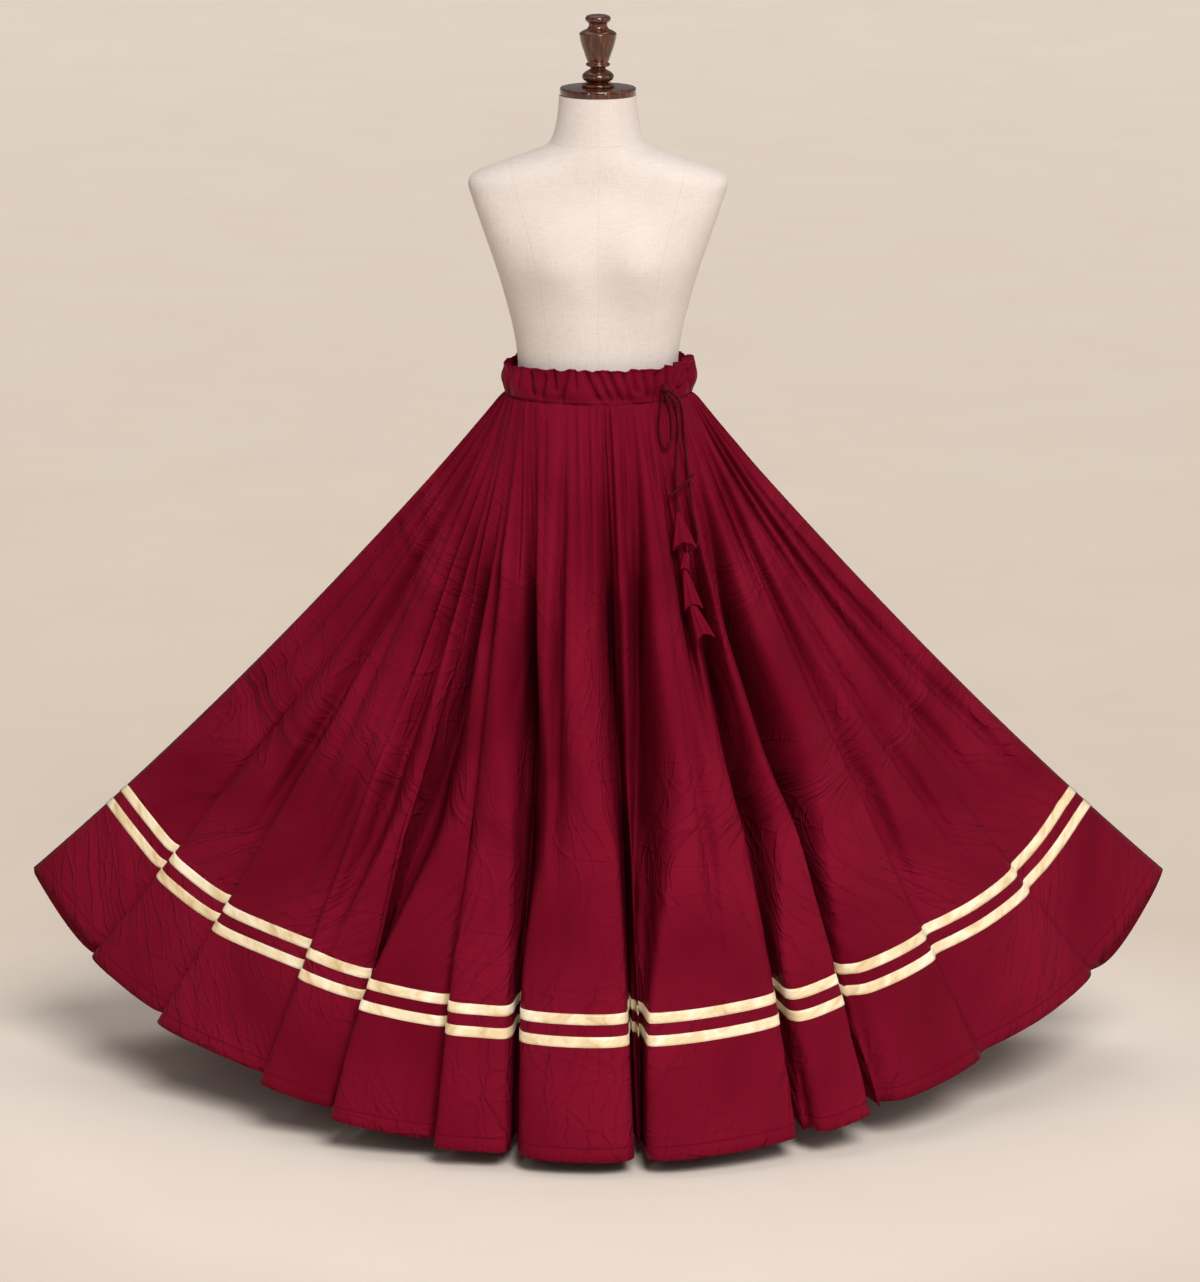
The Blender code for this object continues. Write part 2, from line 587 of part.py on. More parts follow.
def build_stand(wood, steel):
    bottom = SEAM_Z + FORM_SECTIONS[0][0] + SEAM_GAP
    top = bottom + CAP_HEIGHT
    turned("form_finial", [(radius, top + above) for radius, above in FINIAL_PROFILE], wood, FINIAL_STEPS)
    r, c = CAP_RADIUS, CAP_ROUND
    cap = ((0.0, top), (r - c, top), (r, top - c), (r, bottom + c), (r - c, bottom), (0.0, bottom))
    turned("form_neck_cap", cap, wood, CAP_STEPS)
    pole_top = SEAM_Z + FORM_SECTIONS[-1][0] - SEAM_GAP
    pole_bottom = BASE_HEIGHT + SEAM_GAP
    r = POLE_RADIUS
    pole = ((0.0, pole_top), (r, pole_top), (r, pole_bottom), (0.0, pole_bottom))
    turned("form_pole", pole, steel, POLE_STEPS)
    r, c, top = BASE_RADIUS, BASE_ROUND, BASE_HEIGHT
    base = ((0.0, top), (r - c, top), (r, top - c), (r, 0.0), (0.0, 0.0))
    turned("form_base", base, steel, BASE_STEPS)


clear_scene()
PARTS = bpy.data.collections.new("maxi_skirt_on_dress_form")
bpy.context.scene.collection.children.link(PARTS)
taffeta_material = make_material("maroon_taffeta", TAFFETA)
ribbon_material = make_material("champagne_satin", SATIN_RIBBON)
canvas_material = make_material("linen_canvas", LINEN_CANVAS)
wood_material = make_material("dark_walnut", DARK_WOOD)
steel_material = make_material("painted_steel", STEEL)
build_skirt(taffeta_material, ribbon_material)
build_waistband(taffeta_material)
build_knot(taffeta_material)
for cord_name, cord_route in CORD_ROUTES:
    build_cord(cord_name, cord_route, taffeta_material)
for tassel_row in TASSELS:
    build_tassel(dict(zip(TASSEL_COLUMNS, tassel_row)), taffeta_material)
build_form(canvas_material)
build_stand(wood_material, steel_material)
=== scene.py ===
import math

import bpy
import numpy as np
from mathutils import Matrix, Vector


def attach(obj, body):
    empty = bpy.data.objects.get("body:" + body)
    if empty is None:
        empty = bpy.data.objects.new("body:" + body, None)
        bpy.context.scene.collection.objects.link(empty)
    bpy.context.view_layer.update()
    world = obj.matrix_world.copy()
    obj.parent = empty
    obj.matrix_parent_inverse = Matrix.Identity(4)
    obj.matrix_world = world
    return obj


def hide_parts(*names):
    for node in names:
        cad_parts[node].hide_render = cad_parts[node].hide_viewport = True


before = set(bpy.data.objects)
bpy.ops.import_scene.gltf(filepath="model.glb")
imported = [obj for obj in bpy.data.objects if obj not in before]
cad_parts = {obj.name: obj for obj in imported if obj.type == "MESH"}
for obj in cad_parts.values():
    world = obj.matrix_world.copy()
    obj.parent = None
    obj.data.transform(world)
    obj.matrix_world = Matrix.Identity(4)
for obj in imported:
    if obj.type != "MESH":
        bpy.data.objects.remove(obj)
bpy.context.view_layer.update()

# The room. A plain pale studio floor under large soft lamps, seen from a little above
# through a long lens. The lamps are paper-faced softboxes, so no shadow has an edge.
CAMERA_PLACE = (0.003, -9.0, 2.728)
CAMERA_TILT_DEG = 77.34
LENS_MM = 185.3
SENSOR_MM = 36.0
VIEW_REACH = 80.0
FLOOR_SIDE = 60.0
FLOOR_REACH = 16.0
FLOOR_GRAIN_PER_M = 2.5
# Each sun is a softbox far away: the way it shines, how wide it looks and how strong.
LAMP_COLUMNS = ("name", "shines", "angle_deg", "strength", "colour")
LAMPS = (
    ("key_front_right", (-0.28, 1.0, -0.95), 26.0, 2.60, "#FFFDFB"),
    ("top_behind", (0.10, -0.30, -1.0), 60.0, 0.55, "#FFFDFB"),
    ("side_left", (1.0, 0.25, -0.42), 40.0, 0.16, "#FFF3E8"),
    ("side_right", (-1.0, 0.25, -0.42), 40.0, 0.46, "#FFFDFB"),
)
# Two strip lights put the long lights on the lacquer of the finial: where each stands,
# its width and height, and its watts. Both face the same place.
STRIPS = (
    ("strip_left", (-1.5, -2.9, 2.1), (0.22, 1.6), 9.0),
    ("strip_right", (1.3, -3.0, 2.2), (0.30, 1.8), 11.0),
)
STRIPS_FACE = (0.0, 0.0, 1.5)
AIR_COLOUR = "#FBF6F1"
AIR_STRENGTH = 0.19


def linear(code):
    """Turn an sRGB hex colour into four linear numbers, the last one its cover."""
    parts = [int(code[i : i + 2], 16) / 255.0 for i in (1, 3, 5)]
    return tuple(c / 12.92 if c <= 0.04045 else ((c + 0.055) / 1.055) ** 2.4 for c in parts) + (1.0,)


def node(material, kind, settings=None, **links):
    """Add a shader node, set its values and link its inputs. A value is set by its name
    or its input's number, an input is linked by its name or as i and its number, and a
    link may start from a node, which gives its first output. The stops of a colour ramp
    are pairs of a place from 0 to 1 and a hex colour."""
    tree = material.node_tree
    added = tree.nodes.new("ShaderNode" + kind)
    for name, value in (settings or {}).items():
        if name == "stops":
            bands = added.color_ramp.elements
            while len(bands) < len(value):
                bands.new(0.5)
            for band, (place, code) in zip(bands, value):
                band.position = place
                band.color = linear(code)
        elif isinstance(name, int) or name in added.inputs:
            added.inputs[name].default_value = value
        else:
            setattr(added, name, value)
    for name, source in links.items():
        numbered = name[0] == "i" and name[1:].isdigit()
        target = added.inputs[int(name[1:]) if numbered else name]
        tree.links.new(getattr(source, "outputs", [source])[0], target)
    return added


def material(name):
    """Start a material and return it with its shader."""
    made = bpy.data.materials.new(name)
    made.use_nodes = True
    return made, made.node_tree.nodes["Principled BSDF"]


def finish_shader(made, shader, tone, bump, settings):
    """Link a shader's colour and relief, and set its other values."""
    for name, source in (("Base Color", tone), ("Normal", bump)):
        if source is not None:
            made.node_tree.links.new(getattr(source, "outputs", [source])[0], shader.inputs[name])
    for name, value in settings.items():
        shader.inputs[name].default_value = value


def put(name, data):
    """Put an object that shows this data into the scene."""
    added = bpy.data.objects.new(name, data)
    bpy.context.scene.collection.objects.link(added)
    return added


camera_data = bpy.data.cameras.new("camera")
camera_data.lens = LENS_MM
camera_data.sensor_width = SENSOR_MM
camera_data.sensor_fit = "HORIZONTAL"
camera_data.clip_end = VIEW_REACH
camera = put("camera", camera_data)
camera.location = CAMERA_PLACE
camera.rotation_euler = (math.radians(CAMERA_TILT_DEG), 0.0, 0.0)
bpy.context.scene.camera = camera
bpy.context.scene.view_settings.view_transform = "Standard"

for lamp_row in LAMPS:
    lamp = dict(zip(LAMP_COLUMNS, lamp_row))
    lamp_data = bpy.data.lights.new(lamp["name"], "SUN")
    lamp_data.angle = math.radians(lamp["angle_deg"])
    lamp_data.energy = lamp["strength"]
    lamp_data.color = linear(lamp["colour"])[:3]
    lamp_object = put(lamp["name"], lamp_data)
    lamp_object.rotation_euler = Vector(lamp["shines"]).to_track_quat("-Z", "Y").to_euler()

for name, place, size, watts in STRIPS:
    strip_data = bpy.data.lights.new(name, "AREA")
    strip_data.shape = "RECTANGLE"
    strip_data.size, strip_data.size_y = size
    strip_data.energy = watts
    strip = put(name, strip_data)
    strip.location = place
    aim = Vector(STRIPS_FACE) - Vector(place)
    strip.rotation_euler = aim.to_track_quat("-Z", "Y").to_euler()

air = bpy.data.worlds.new("studio_air")
air.use_nodes = True
air_shader = air.node_tree.nodes["Background"]
air_shader.inputs["Color"].default_value = linear(AIR_COLOUR)
air_shader.inputs["Strength"].default_value = AIR_STRENGTH
bpy.context.scene.world = air

bpy.ops.object.select_all(action="DESELECT")
bpy.ops.mesh.primitive_plane_add(size=FLOOR_SIDE)
floor = bpy.context.object
floor.name = "studio_floor"
# Microcement: trowelled and matt, so the eye sees only faint clouds in it. It is lighter round
# the foot of the skirt and far off than a step away from it. The darker ring a step away is
# painted shade, standing in for the shaded foot of a wall that the room doesn't have.
microcement, microcement_shader = material("trowelled_microcement")
where = node(microcement, "TexCoord").outputs["Object"]
clouds = node(
    microcement,
    "TexNoise",
    {"noise_dimensions": "2D", "Scale": FLOOR_GRAIN_PER_M, "Detail": 4.0, "Roughness": 0.6},
    Vector=where,
)
away = node(microcement, "VectorMath", {"operation": "LENGTH"}, i0=where)
spread = node(microcement, "MapRange", {"From Max": FLOOR_REACH}, Value=away.outputs["Value"])
# Painted shade: the darker stops make a ring of shade a step away from the skirt.
floor_tone_and_painted_shade_stops = ((0.055, "#EADED3"), (0.085, "#DACCBD"), (0.20, "#DED0C1"), (0.80, "#E7DACD"))
tone = node(microcement, "ValToRGB", {"stops": floor_tone_and_painted_shade_stops}, i0=spread)
cloudy = node(microcement, "ValToRGB", {"stops": ((0.35, "#FDFCFC"), (0.65, "#FFFFFF"))}, i0=clouds)
mixed = node(
    microcement, "Mix", {"data_type": "RGBA", "blend_type": "MULTIPLY", 0: 1.0}, i6=tone, i7=cloudy
)
finish_shader(microcement, microcement_shader, mixed.outputs[2], None, {"Roughness": 0.75, "IOR": 1.5})
floor.data.materials.append(microcement)


# The stand. A round steel plate lies on the floor and a steel tube rises from it into
# the form. Both are turned or cut plain, primed and painted a satin grey.
BASE_RADIUS = 0.2100
BASE_HEIGHT = 0.0180
BASE_ROUND = 0.0040
BASE_EDGE_CUT = 0.0010
BASE_TOP_DISC = 0.0200
POLE_RADIUS = 0.0160
STAND_GAP = 0.0003
SEAM_Z = 1.085
FORM_BOTTOM_Z = SEAM_Z - 0.2470
ORANGE_PEEL_MM = 1.5
CORNER_STEPS = 5
SMOOTH_UNDER_DEG = 40.0
BASE_SIDES = 96
POLE_SIDES = 48


def corner(radius, height, bend, start_deg, end_deg):
    """Points of a corner that bends about a centre at radius and height."""
    angles = np.radians(np.linspace(start_deg, end_deg, CORNER_STEPS))
    return [(radius + bend * math.cos(a), height + bend * math.sin(a)) for a in angles]


def turned(name, profile, steps):
    """Turn a piece: a disc is extruded up through a profile of radius and height."""
    bpy.ops.object.select_all(action="DESELECT")
    radius, height = profile[0]
    bpy.ops.mesh.primitive_circle_add(
        vertices=steps, radius=radius, fill_type="NGON", location=(0, 0, height)
    )
    piece = bpy.context.object
    piece.name = name
    bpy.ops.object.transform_apply(location=True, rotation=True, scale=True)
    bpy.ops.object.mode_set(mode="EDIT")
    bpy.ops.mesh.select_all(action="SELECT")
    for next_radius, next_height in profile[1:]:
        bpy.ops.mesh.extrude_region_move(TRANSFORM_OT_translate={"value": (0, 0, next_height - height)})
        grow = next_radius / radius
        bpy.ops.transform.resize(value=(grow, grow, 1), center_override=(0, 0, next_height))
        radius, height = next_radius, next_height
    bpy.ops.mesh.select_all(action="SELECT")
    bpy.ops.mesh.normals_make_consistent(inside=False)
    bpy.ops.object.mode_set(mode="OBJECT")
    bpy.ops.object.shade_smooth_by_angle(angle=math.radians(SMOOTH_UNDER_DEG))
    return piece


def finish_piece(piece, made, slot, *nodes):
    """Give a piece its material, let it ride on the object and stand for its nodes."""
    piece.data.materials.clear()
    piece.data.materials.append(made)
    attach(piece, "root")
    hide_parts(*nodes)


# Satin enamel on steel: sprayed, so a faint orange peel breaks up its reflections.
enamel, enamel_shader = material("satin_enamel_on_steel")
where = node(enamel, "TexCoord").outputs["Object"]
peel = node(enamel, "TexNoise", {"Scale": 1000.0 / ORANGE_PEEL_MM, "Detail": 2.0}, Vector=where)
dust = node(enamel, "TexNoise", {"Scale": 14.0, "Detail": 4.0}, Vector=where)
enamel_tone = node(enamel, "ValToRGB", {"stops": ((0.35, "#C2C2C2"), (0.70, "#CBCAC8"))}, i0=dust)
peel_bump = node(enamel, "Bump", {"Strength": 0.15, "Distance": 0.0002}, Height=peel)
finish_shader(enamel, enamel_shader, enamel_tone, peel_bump, {"Roughness": 0.38, "IOR": 1.5})

base_profile = [(BASE_RADIUS - BASE_EDGE_CUT, 0.0), (BASE_RADIUS, BASE_EDGE_CUT)]
base_profile += corner(BASE_RADIUS - BASE_ROUND, BASE_HEIGHT - BASE_ROUND, BASE_ROUND, 0, 90)
base = turned("stand_base", base_profile + [(BASE_TOP_DISC, BASE_HEIGHT)], BASE_SIDES)
finish_piece(base, enamel, "painted_steel", "form_base")
pole_profile = [(POLE_RADIUS, BASE_HEIGHT + STAND_GAP), (POLE_RADIUS, FORM_BOTTOM_Z - STAND_GAP)]
pole = turned("stand_pole", pole_profile, POLE_SIDES)
finish_piece(pole, enamel, "painted_steel", "form_pole")


# The dress form. A limbless padded torso covered in off-white linen canvas, cut in
# panels and sewn along the princess lines, the centre and the base of the neck.
FORM_COLUMNS = ("above_seam", "half_width", "front", "back", "square")
FORM_SECTIONS = (
    (0.4410, 0.0570, 0.0540, 0.0540, 2.0),
    (0.4140, 0.0590, 0.0560, 0.0560, 2.0),
    (0.3860, 0.0650, 0.0610, 0.0610, 2.0),
    (0.3690, 0.0745, 0.0660, 0.0660, 2.0),
    (0.3590, 0.0950, 0.0700, 0.0690, 2.1),
    (0.3440, 0.1370, 0.0730, 0.0720, 2.3),
    (0.3280, 0.1790, 0.0740, 0.0750, 2.6),
    (0.3140, 0.1905, 0.0750, 0.0770, 2.9),
    (0.2910, 0.1850, 0.0800, 0.0830, 2.9),
    (0.2650, 0.1765, 0.0900, 0.0870, 2.7),
    (0.2330, 0.1655, 0.1010, 0.0890, 2.5),
    (0.2010, 0.1545, 0.1050, 0.0870, 2.4),
    (0.1680, 0.1440, 0.1010, 0.0830, 2.3),
    (0.1280, 0.1330, 0.0940, 0.0790, 2.2),
    (0.0850, 0.1230, 0.0890, 0.0790, 2.1),
    (0.0430, 0.1184, 0.0890, 0.0830, 2.1),
    (0.0180, 0.1230, 0.0950, 0.0930, 2.0),
    (-0.0010, 0.1333, 0.1077, 0.1077, 2.0),
    (-0.0370, 0.1480, 0.1130, 0.1160, 2.0),
    (-0.1070, 0.1640, 0.1180, 0.1260, 2.1),
    (-0.1870, 0.1720, 0.1180, 0.1280, 2.1),
    (-0.2470, 0.1660, 0.1120, 0.1200, 2.1),
)
FORM_AROUND = 192
FORM_PER_SECTION = 7
BUST_PLACE = (0.062, 0.205)
BUST_SIZE = (0.040, 0.052)
BUST_HEIGHT = 0.009
BUST_HOLLOW = 0.5
BUST_HOLLOW_WIDTH = 0.030
FORM_SHARP_OVER_DEG = 60.0
# The princess line, on each half of the cover: heights above the waist seam, and how far
# from the centre it runs there.
PRINCESS_LINE = (
    (0.00, 0.068), (0.05, 0.072), (0.13, 0.080), (0.22, 0.096), (0.30, 0.118), (0.345, 0.130),
)
COLLAR_Z = SEAM_Z + 0.3720
SEAM_LINE_MM = 1.6
LINEN_THREAD_MM = 1.1


def table(columns, rows):
    """Turn a table's rows into one array for each numeric column, by its name."""
    return {
        name: np.array([row[i] for row in rows], dtype=float)
        for i, name in enumerate(columns)
        if name != "name"
    }


def hermite(knots, values, at):
    """Read a smooth curve through values at the rising knots, with central slopes."""
    slopes = np.empty_like(values)
    slopes[1:-1] = (values[2:] - values[:-2]) / (knots[2:] - knots[:-2])
    slopes[0] = (values[1] - values[0]) / (knots[1] - knots[0])
    slopes[-1] = (values[-1] - values[-2]) / (knots[-1] - knots[-2])
    k = np.clip(np.searchsorted(knots, at, side="right") - 1, 0, len(knots) - 2)
    span = knots[k + 1] - knots[k]
    u = (at - knots[k]) / span
    return (
        (2 * u**3 - 3 * u**2 + 1) * values[k]
        + (u**3 - 2 * u**2 + u) * span * slopes[k]
        + (3 * u**2 - 2 * u**3) * values[k + 1]
        + (u**3 - u**2) * span * slopes[k + 1]
    )


form_rows = table(FORM_COLUMNS, FORM_SECTIONS)
section = np.arange(len(FORM_SECTIONS), dtype=float)
at = np.linspace(0.0, section[-1], FORM_PER_SECTION * (len(FORM_SECTIONS) - 1) + 1)
form = {name: hermite(section, form_rows[name], at)[:, None] for name in FORM_COLUMNS}
angle = np.linspace(0.0, 2 * np.pi, FORM_AROUND, endpoint=False)[None, :]
power = 2.0 / form["square"]
across = np.sign(np.sin(angle)) * np.abs(np.sin(angle)) ** power
deep = -np.sign(np.cos(angle)) * np.abs(np.cos(angle)) ** power
x = form["half_width"] * across
y = np.where(deep < 0, form["front"], form["back"]) * deep
rise = form["above_seam"] + 0.0 * angle
bust_level = ((rise - BUST_PLACE[1]) / BUST_SIZE[1]) ** 2
bust = np.exp(-(((np.abs(x) - BUST_PLACE[0]) / BUST_SIZE[0]) ** 2) - bust_level)
between = np.exp(-((x / BUST_HOLLOW_WIDTH) ** 2) - bust_level)
y = np.where(deep < 0, y - BUST_HEIGHT * bust + BUST_HOLLOW * BUST_HEIGHT * between, y)
rings = np.stack([x, y, SEAM_Z + rise], axis=-1)
count = len(at)
quads = []
for i in range(count - 1):
    for j in range(FORM_AROUND):
        a = i * FORM_AROUND + j
        b = i * FORM_AROUND + (j + 1) % FORM_AROUND
        quads.append((a, a + FORM_AROUND, b + FORM_AROUND, b))
low = (count - 1) * FORM_AROUND
quads.append(tuple(range(FORM_AROUND)))
quads.append(tuple(reversed(range(low, low + FORM_AROUND))))
torso_mesh = bpy.data.meshes.new("dress_form_torso")
torso_mesh.from_pydata(rings.reshape(-1, 3).tolist(), [], quads)
torso_mesh.shade_smooth()
torso_mesh.set_sharp_from_angle(angle=math.radians(FORM_SHARP_OVER_DEG))
torso = put("dress_form_torso", torso_mesh)

# Linen canvas: woven from uneven yarn, so thick threads run up and across it. The
# thread is drawn about three times too coarse, because a real one wouldn't show.
linen, linen_shader = material("woven_linen_canvas")
where = node(linen, "TexCoord").outputs["Object"]
thread_per_m = 1000 / LINEN_THREAD_MM
yarn = []
for thread_scale in ((thread_per_m, thread_per_m, 45.0), (60.0, 60.0, thread_per_m)):
    thread_map = node(linen, "Mapping", {"Scale": thread_scale}, Vector=where)
    noise = {"Scale": 1.0, "Detail": 3.0, "Distortion": 0.3}
    yarn.append(node(linen, "TexNoise", noise, Vector=thread_map))
weave = node(linen, "Math", {"operation": "MAXIMUM"}, i0=yarn[0], i1=yarn[1])
rub = node(linen, "TexNoise", {"Scale": 130.0, "Detail": 3.0, "Distortion": 1.5}, Vector=where)
clouds = node(linen, "TexNoise", {"Scale": 9.0, "Detail": 3.0}, Vector=where)
parts = node(linen, "SeparateXYZ", i0=where)
aside = node(linen, "Math", {"operation": "ABSOLUTE"}, i0=parts.outputs["X"])
seam_from, seam_to = PRINCESS_LINE[0][0], PRINCESS_LINE[-1][0]
seam_span = {"From Min": SEAM_Z + seam_from, "From Max": SEAM_Z + seam_to}
height = node(linen, "MapRange", seam_span, Value=parts.outputs["Z"])
curve = node(linen, "FloatCurve", {"Factor": 1.0}, Value=height)
line = curve.mapping.curves[0].points
while len(line) < len(PRINCESS_LINE):
    line.new(0.5, 0.5)
for point, (above, place) in zip(line, PRINCESS_LINE):
    point.location = ((above - seam_from) / (seam_to - seam_from), place)
curve.mapping.update()
princess = node(linen, "Math", {"operation": "SUBTRACT"}, i0=aside, i1=curve)
princess = node(linen, "Math", {"operation": "ABSOLUTE"}, i0=princess)
collar = node(linen, "Math", {"operation": "SUBTRACT", 1: COLLAR_Z}, i0=parts.outputs["Z"])
collar = node(linen, "Math", {"operation": "ABSOLUTE"}, i0=collar)
nearest = node(linen, "Math", {"operation": "MINIMUM"}, i0=princess, i1=aside)
nearest = node(linen, "Math", {"operation": "MINIMUM"}, i0=nearest, i1=collar)
stitch = node(
    linen,
    "MapRange",
    {"From Max": SEAM_LINE_MM / 1000, "To Min": 1.0, "To Max": 0.0, "interpolation_type": "SMOOTHSTEP"},
    Value=nearest,
)
linen_tone = node(linen, "ValToRGB", {"stops": ((0.35, "#D6CCC6"), (0.65, "#DDD3CD"))}, i0=clouds)
thread_tone = node(linen, "ValToRGB", {"stops": ((0.42, "#ECE5DF"), (0.62, "#FFFEFC"))}, i0=weave)
mixed = node(
    linen,
    "Mix",
    {"data_type": "RGBA", "blend_type": "MULTIPLY", "Factor": 0.55},
    i6=linen_tone,
    i7=thread_tone,
)
seam_share = node(linen, "Math", {"operation": "MULTIPLY", 1: 0.3}, i0=stitch)
seamed = node(
    linen,
    "Mix",
    {"data_type": "RGBA", "B": linear("#CDBDAC")},
    i0=seam_share,
    i6=mixed.outputs[2],
)
relief = node(linen, "Bump", {"Strength": 0.35, "Distance": 0.0006}, Height=weave)
relief = node(linen, "Bump", {"Strength": 0.45, "Distance": 0.0008}, Height=rub, Normal=relief)
sunk = {"Strength": 0.25, "Distance": 0.0010, "invert": True}
relief = node(linen, "Bump", sunk, Height=stitch, Normal=relief)
linen_settings = {"Roughness": 0.88, "IOR": 1.45, "Sheen Weight": 0.12}
finish_shader(linen, linen_shader, seamed.outputs[2], relief, linen_settings)
finish_piece(torso, linen, "linen_canvas", "form_torso")


# The neck cap and the finial. Both are turned from dark walnut, stained and finished
# with a gloss lacquer; the finial's dowel is glued into the cap.
CAP_RADIUS = 0.0560
CAP_HEIGHT = 0.0115
CAP_ROUND = 0.0030
CAP_BOTTOM_Z = SEAM_Z + FORM_SECTIONS[0][0] + STAND_GAP
CAP_TOP_Z = CAP_BOTTOM_Z + CAP_HEIGHT
FINIAL_PROFILE = (
    (0.0235, 0.0003), (0.0245, 0.0012), (0.0245, 0.0040), (0.0205, 0.0058), (0.0150, 0.0068),
    (0.0170, 0.0080), (0.0215, 0.0110), (0.0235, 0.0145), (0.0225, 0.0185), (0.0185, 0.0225),
    (0.0130, 0.0255), (0.0112, 0.0275), (0.0135, 0.0298), (0.0172, 0.0312), (0.0180, 0.0328),
    (0.0175, 0.0343), (0.0155, 0.0362), (0.0158, 0.0380), (0.0178, 0.0430), (0.0205, 0.0510),
    (0.0238, 0.0600), (0.0262, 0.0690), (0.0270, 0.0752), (0.0275, 0.0778), (0.0262, 0.0798),
    (0.0215, 0.0830), (0.0168, 0.0850), (0.0142, 0.0880), (0.0137, 0.0912), (0.0150, 0.0945),
    (0.0180, 0.0972), (0.0188, 0.1000), (0.0178, 0.1030), (0.0145, 0.1052), (0.0090, 0.1064),
    (0.0030, 0.1068),
)
WALNUT_GRAIN_MM = 5.0
CAP_SIDES = 96
FINIAL_SIDES = 72
FINIAL_STEPS = 3

# Walnut under lacquer: dark grain runs up the turning in broad streaks, and the lacquer
# is a clear coat over it, so the lamps show as sharp lights.
walnut, walnut_shader = material("lacquered_walnut")
where = node(walnut, "TexCoord").outputs["Object"]
grain_per_m = 1000 / WALNUT_GRAIN_MM
grain_map = node(walnut, "Mapping", {"Scale": (grain_per_m, grain_per_m, 9.0)}, Vector=where)
grain = node(walnut, "TexNoise", {"Scale": 1.0, "Detail": 3.0, "Roughness": 0.5}, Vector=grain_map)
walnut_stops = ((0.30, "#240C02"), (0.50, "#431A06"), (0.72, "#6E340E"))
walnut_tone = node(walnut, "ValToRGB", {"stops": walnut_stops}, i0=grain)
grain_bump = node(walnut, "Bump", {"Strength": 0.12, "Distance": 0.0003}, Height=grain)
lacquer = {"IOR": 1.5, "Specular IOR Level": 0.25, "Coat Weight": 1.0, "Coat Roughness": 0.07}
finish_shader(walnut, walnut_shader, walnut_tone, grain_bump, {"Roughness": 0.30, **lacquer})

cap_profile = corner(CAP_RADIUS - CAP_ROUND, CAP_BOTTOM_Z + CAP_ROUND, CAP_ROUND, -90, 0)
cap_profile += corner(CAP_RADIUS - CAP_ROUND, CAP_TOP_Z - CAP_ROUND, CAP_ROUND, 0, 90)
cap = turned("neck_cap", cap_profile + [(2 * CAP_ROUND, CAP_TOP_Z)], CAP_SIDES)
finish_piece(cap, walnut, "dark_walnut", "form_neck_cap")

finial_rows = np.array(FINIAL_PROFILE)
finial_at = np.linspace(0, len(finial_rows) - 1, FINIAL_STEPS * (len(finial_rows) - 1) + 1)
finial_index = np.arange(len(finial_rows), dtype=float)
finial_radius = hermite(finial_index, finial_rows[:, 0], finial_at)
finial_height = hermite(finial_index, finial_rows[:, 1], finial_at) + CAP_TOP_Z
finial = turned("finial", list(zip(finial_radius.tolist(), finial_height.tolist())), FINIAL_SIDES)
finish_piece(finial, walnut, "dark_walnut", "form_finial")


# The skirt panels. The front and the back are cut flared from maroon taffeta, gathered
# into the waistband, joined at the two side seams and turned up once at the hem.
WAIST_HALF_WIDTH = 0.1375
WAIST_HALF_DEPTH = 0.1120
RIB_LENGTH = 1.10
CLOTH = 0.0012
SEAM_GAP = 0.0003
FOLD_GROWTH = 1.25
FRONT_BOW = 0.020
SIDE_SAG = 0.055
HEM_TURN_UP = 0.020
# One row for each valley between two folds, as the cloth goes round: where it is on the
# waist seam in degrees and where it meets the hem, then how far the fold that follows
# stands out near that valley, in its middle and where it drops into the next.
FOLD_COLUMNS = ("name", "waist_deg", "hem_x", "hem_y", "hem_z", "lead", "rise", "crest", "fall")
FRONT_FOLDS = (
    ("left_seam", -92, -0.871, 0.225, 0.298, 0.30, 0.004, 0.006, 0.006),
    ("left_tip", -85, -0.762, 0.100, 0.202, 0.10, 0.024, 0.018, 0.008),
    ("left_outer", -79, -0.652, -0.030, 0.135, 0.08, 0.030, 0.022, 0.010),
    ("left_broad", -72, -0.485, -0.190, 0.088, 0.08, 0.036, 0.030, 0.012),
    ("left_strong", -64, -0.380, -0.260, 0.058, 0.08, 0.046, 0.034, 0.014),
    ("left_inner", -56, -0.235, -0.330, 0.034, 0.09, 0.042, 0.038, 0.034),
    ("deep_left", -46, -0.122, -0.348, 0.027, 0.12, 0.050, 0.062, 0.052),
    ("deep_right", 6, 0.062, -0.358, 0.025, 0.07, 0.060, 0.056, 0.034),
    ("right_inner", 38, 0.306, -0.300, 0.040, 0.12, 0.030, 0.032, 0.024),
    ("right_strong", 54, 0.414, -0.245, 0.063, 0.14, 0.024, 0.026, 0.016),
    ("right_broad", 68, 0.575, -0.120, 0.104, 0.20, 0.008, 0.016, 0.014),
    ("right_outer", 80, 0.752, 0.060, 0.184, 0.25, 0.003, 0.005, 0.003),
)
BACK_FOLDS = (
    ("right_seam", 92, 0.871, 0.215, 0.298, 0.30, 0.003, 0.008, 0.008),
    ("back_right_tip", 100, 0.785, 0.255, 0.135, 0.16, 0.024, 0.030, 0.020),
    ("back_right_outer", 112, 0.620, 0.335, 0.072, 0.14, 0.034, 0.040, 0.026),
    ("back_right", 132, 0.370, 0.395, 0.034, 0.12, 0.040, 0.048, 0.034),
    ("back_middle_right", 160, 0.130, 0.415, 0.020, 0.10, 0.046, 0.054, 0.040),
    ("back_middle_left", 196, -0.120, 0.415, 0.020, 0.10, 0.042, 0.050, 0.038),
    ("back_left", 224, -0.350, 0.400, 0.034, 0.12, 0.040, 0.046, 0.032),
    ("back_left_outer", 246, -0.600, 0.340, 0.078, 0.14, 0.034, 0.036, 0.022),
    ("back_left_tip", 259, -0.785, 0.265, 0.150, 0.16, 0.014, 0.010, 0.003),
)
CREST_PLACE = 0.48
FALL_PLACE = 0.88
